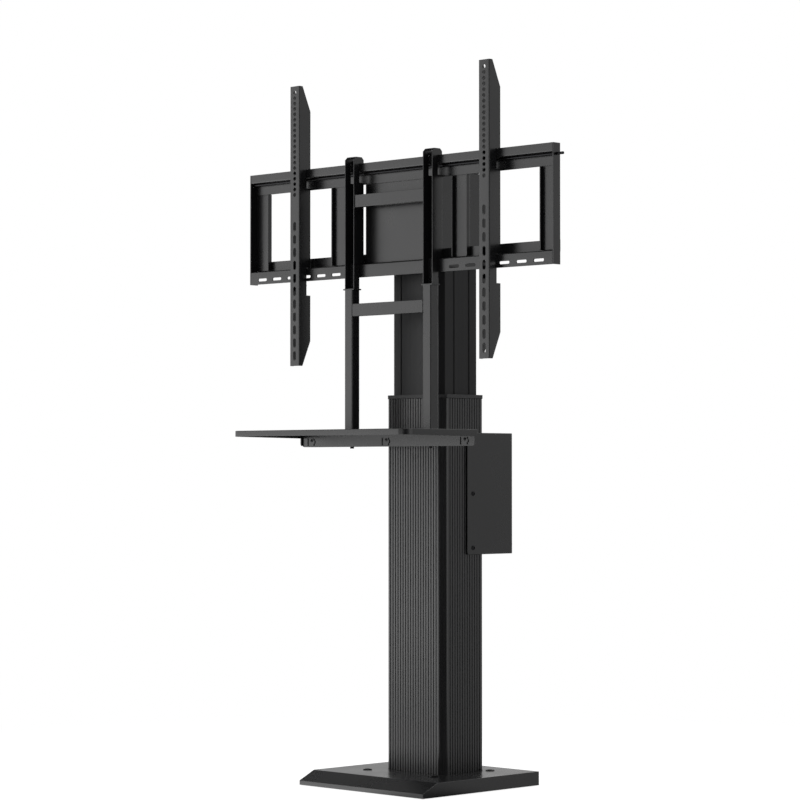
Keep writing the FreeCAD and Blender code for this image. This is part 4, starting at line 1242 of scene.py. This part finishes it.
@dataclass(frozen=True)
class Floor(Backdrop):
    """A paper floor: white to the camera but for a soft shadow near the stand.

    The fades of shadow and of each reach run along the distance from the column.

    Attributes:
        size: The length of its sides.
        drop: How far it lies below the stand's foot, so that the two don't share a plane.
        paper: The paper's colour.
        glow: How far its own light goes towards white near the stand.
        shadow: Ends the shadow.
        right: The brightness at the right, along the picture's right.
        right_reach: Dims it near the stand.
        left_reach: Raises the left near the stand.
        lip: The brightness that the base's front slope mirrors, along the way to the front.
        lip_reach: Keeps it near the stand.
        square_reach: Keeps the square parts away from the stand.
    """

    size: float = 3.6
    drop: float = 0.5 * MM
    paper: Sequence[float] = (0.8, 0.8, 0.8, 1.0)
    glow: float = 0.82
    shadow: Fade = Fade(0.5, 1.8)
    right: Fade = Fade(0.1, 0.8, 0.02, 0.72)
    right_reach: Fade = Fade(0.1, 1.0, 0.85, 1.0)
    left_reach: Fade = Fade(0.4, 2.0, 1.35, 1.0)
    lip: Fade = Fade(0.22, 0.24, 0.0, 1.2)
    lip_reach: Fade = Fade(0.33, 0.5, 1.0, 0.0)
    square_reach: Fade = Fade(0.6, 1.2)

    def build(self) -> None:
        """Lays the floor."""
        half = self.size / 2
        corners = [(-half, -half, 0.0), (half, -half, 0.0), (half, half, 0.0), (-half, half, 0.0)]
        mesh = bpy.data.meshes.new("floor")
        mesh.from_pydata(corners, [], [(0, 1, 2, 3)])
        mesh.materials.append(self.material())
        made = new_object("floor", mesh)
        made.location.z = -self.drop
        made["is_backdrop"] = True

    def material(self) -> bpy.types.Material:
        """Makes the floor's paper.

        Returns:
            The material.
        """
        material = bpy.data.materials.new("floor_paper")
        material.use_nodes = True
        graph = Graph(material.node_tree)
        place = graph.node("ShaderNodeTexCoord", output="Object")
        reach = graph.node("ShaderNodeVectorMath", {0: place}, output="Value", operation="LENGTH")
        far = reach.ramp(self.shadow)
        seen = graph.node("ShaderNodeLightPath", output="Is Camera Ray")
        glossy = graph.node("ShaderNodeLightPath", output="Is Glossy Ray")
        shine = (1.0 - self.glow) * far + self.glow
        glow = seen * shine + glossy * self.mirrored(graph, place, reach)
        white = graph.node("ShaderNodeEmission", {"Color": WHITE, "Strength": glow})
        paper = graph.node("ShaderNodeBsdfDiffuse", {"Color": self.paper})
        lit = graph.node("ShaderNodeAddShader", {0: paper, 1: white})
        shown = graph.node("ShaderNodeMixShader", {0: seen * far + glossy, 1: lit, 2: white})
        graph.node("ShaderNodeOutputMaterial", {"Surface": shown})
        return material

    def mirrored(self, graph: Graph, place: Value, reach: Value) -> Value:
        """Adds up what the floor shows in reflections.

        Args:
            graph: The paper's graph.
            place: Object coordinates.
            reach: Their distance from the column.

        Returns:
            The brightness at a place.
        """
        level = graph.node("ShaderNodeVectorMath", {0: place}, output="Vector", operation="NORMALIZE")
        across = graph.along(level, self.view.right)
        near = graph.along(level, self.view.near)
        right = across.ramp(self.right) * reach.ramp(self.right_reach) * near.ramp(self.camera_half)
        left = across.ramp(self.left) * reach.ramp(self.left_reach)
        lip = graph.along(place, Facing.FRONT.vector).ramp(self.lip) * reach.ramp(self.lip_reach)
        return right + left + lip + self.squarely(graph, level) * reach.ramp(self.square_reach)


@dataclass(frozen=True)
class Studio:
    """A white surround, a pale floor, two soft lamps and the photo's camera.

    Attributes:
        view: The camera.
        lamps: The lamps.
    """

    view: PhotoCamera = PhotoCamera()
    lamps: tuple[Lamp, ...] = (
        Lamp("key_lamp", place=(-2.5, -2.6, 0.95), aim=(0.0, 0.0, 0.85), size=(2.6, 3.4), power=52.0),
        Lamp("top_lamp", place=(0.0, 0.4, 4.2), aim=(0.0, 0.0, 0.6), size=(2.0, 2.0), power=25.0),
    )

    def build(self) -> None:
        """Makes the whole studio."""
        bpy.context.scene.view_settings.view_transform = "Standard"
        for part in (Surround(self.view), Floor(self.view), *self.lamps, self.view):
            part.build()


def main() -> None:
    """Builds and dresses every sub-assembly, then the studio."""
    logging.basicConfig(level=logging.INFO, format="%(message)s")
    shop = Workshop.open()
    for kind in (Base, Column, LiftDrive, RearCover, MountFrame, Arms, Hanger, Shelf):
        group = kind(shop)
        group.dress()
        for piece in group.build():
            LOG.info("%s: %d faces", piece.name, len(piece.data.polygons))
    Studio().build()
    boxes = {"cad": CAD_BOX, "visual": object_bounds()}
    json.dumps({name: [list(corner) for corner in box] for name, box in boxes.items()})


if __name__ == "__main__":
    main()
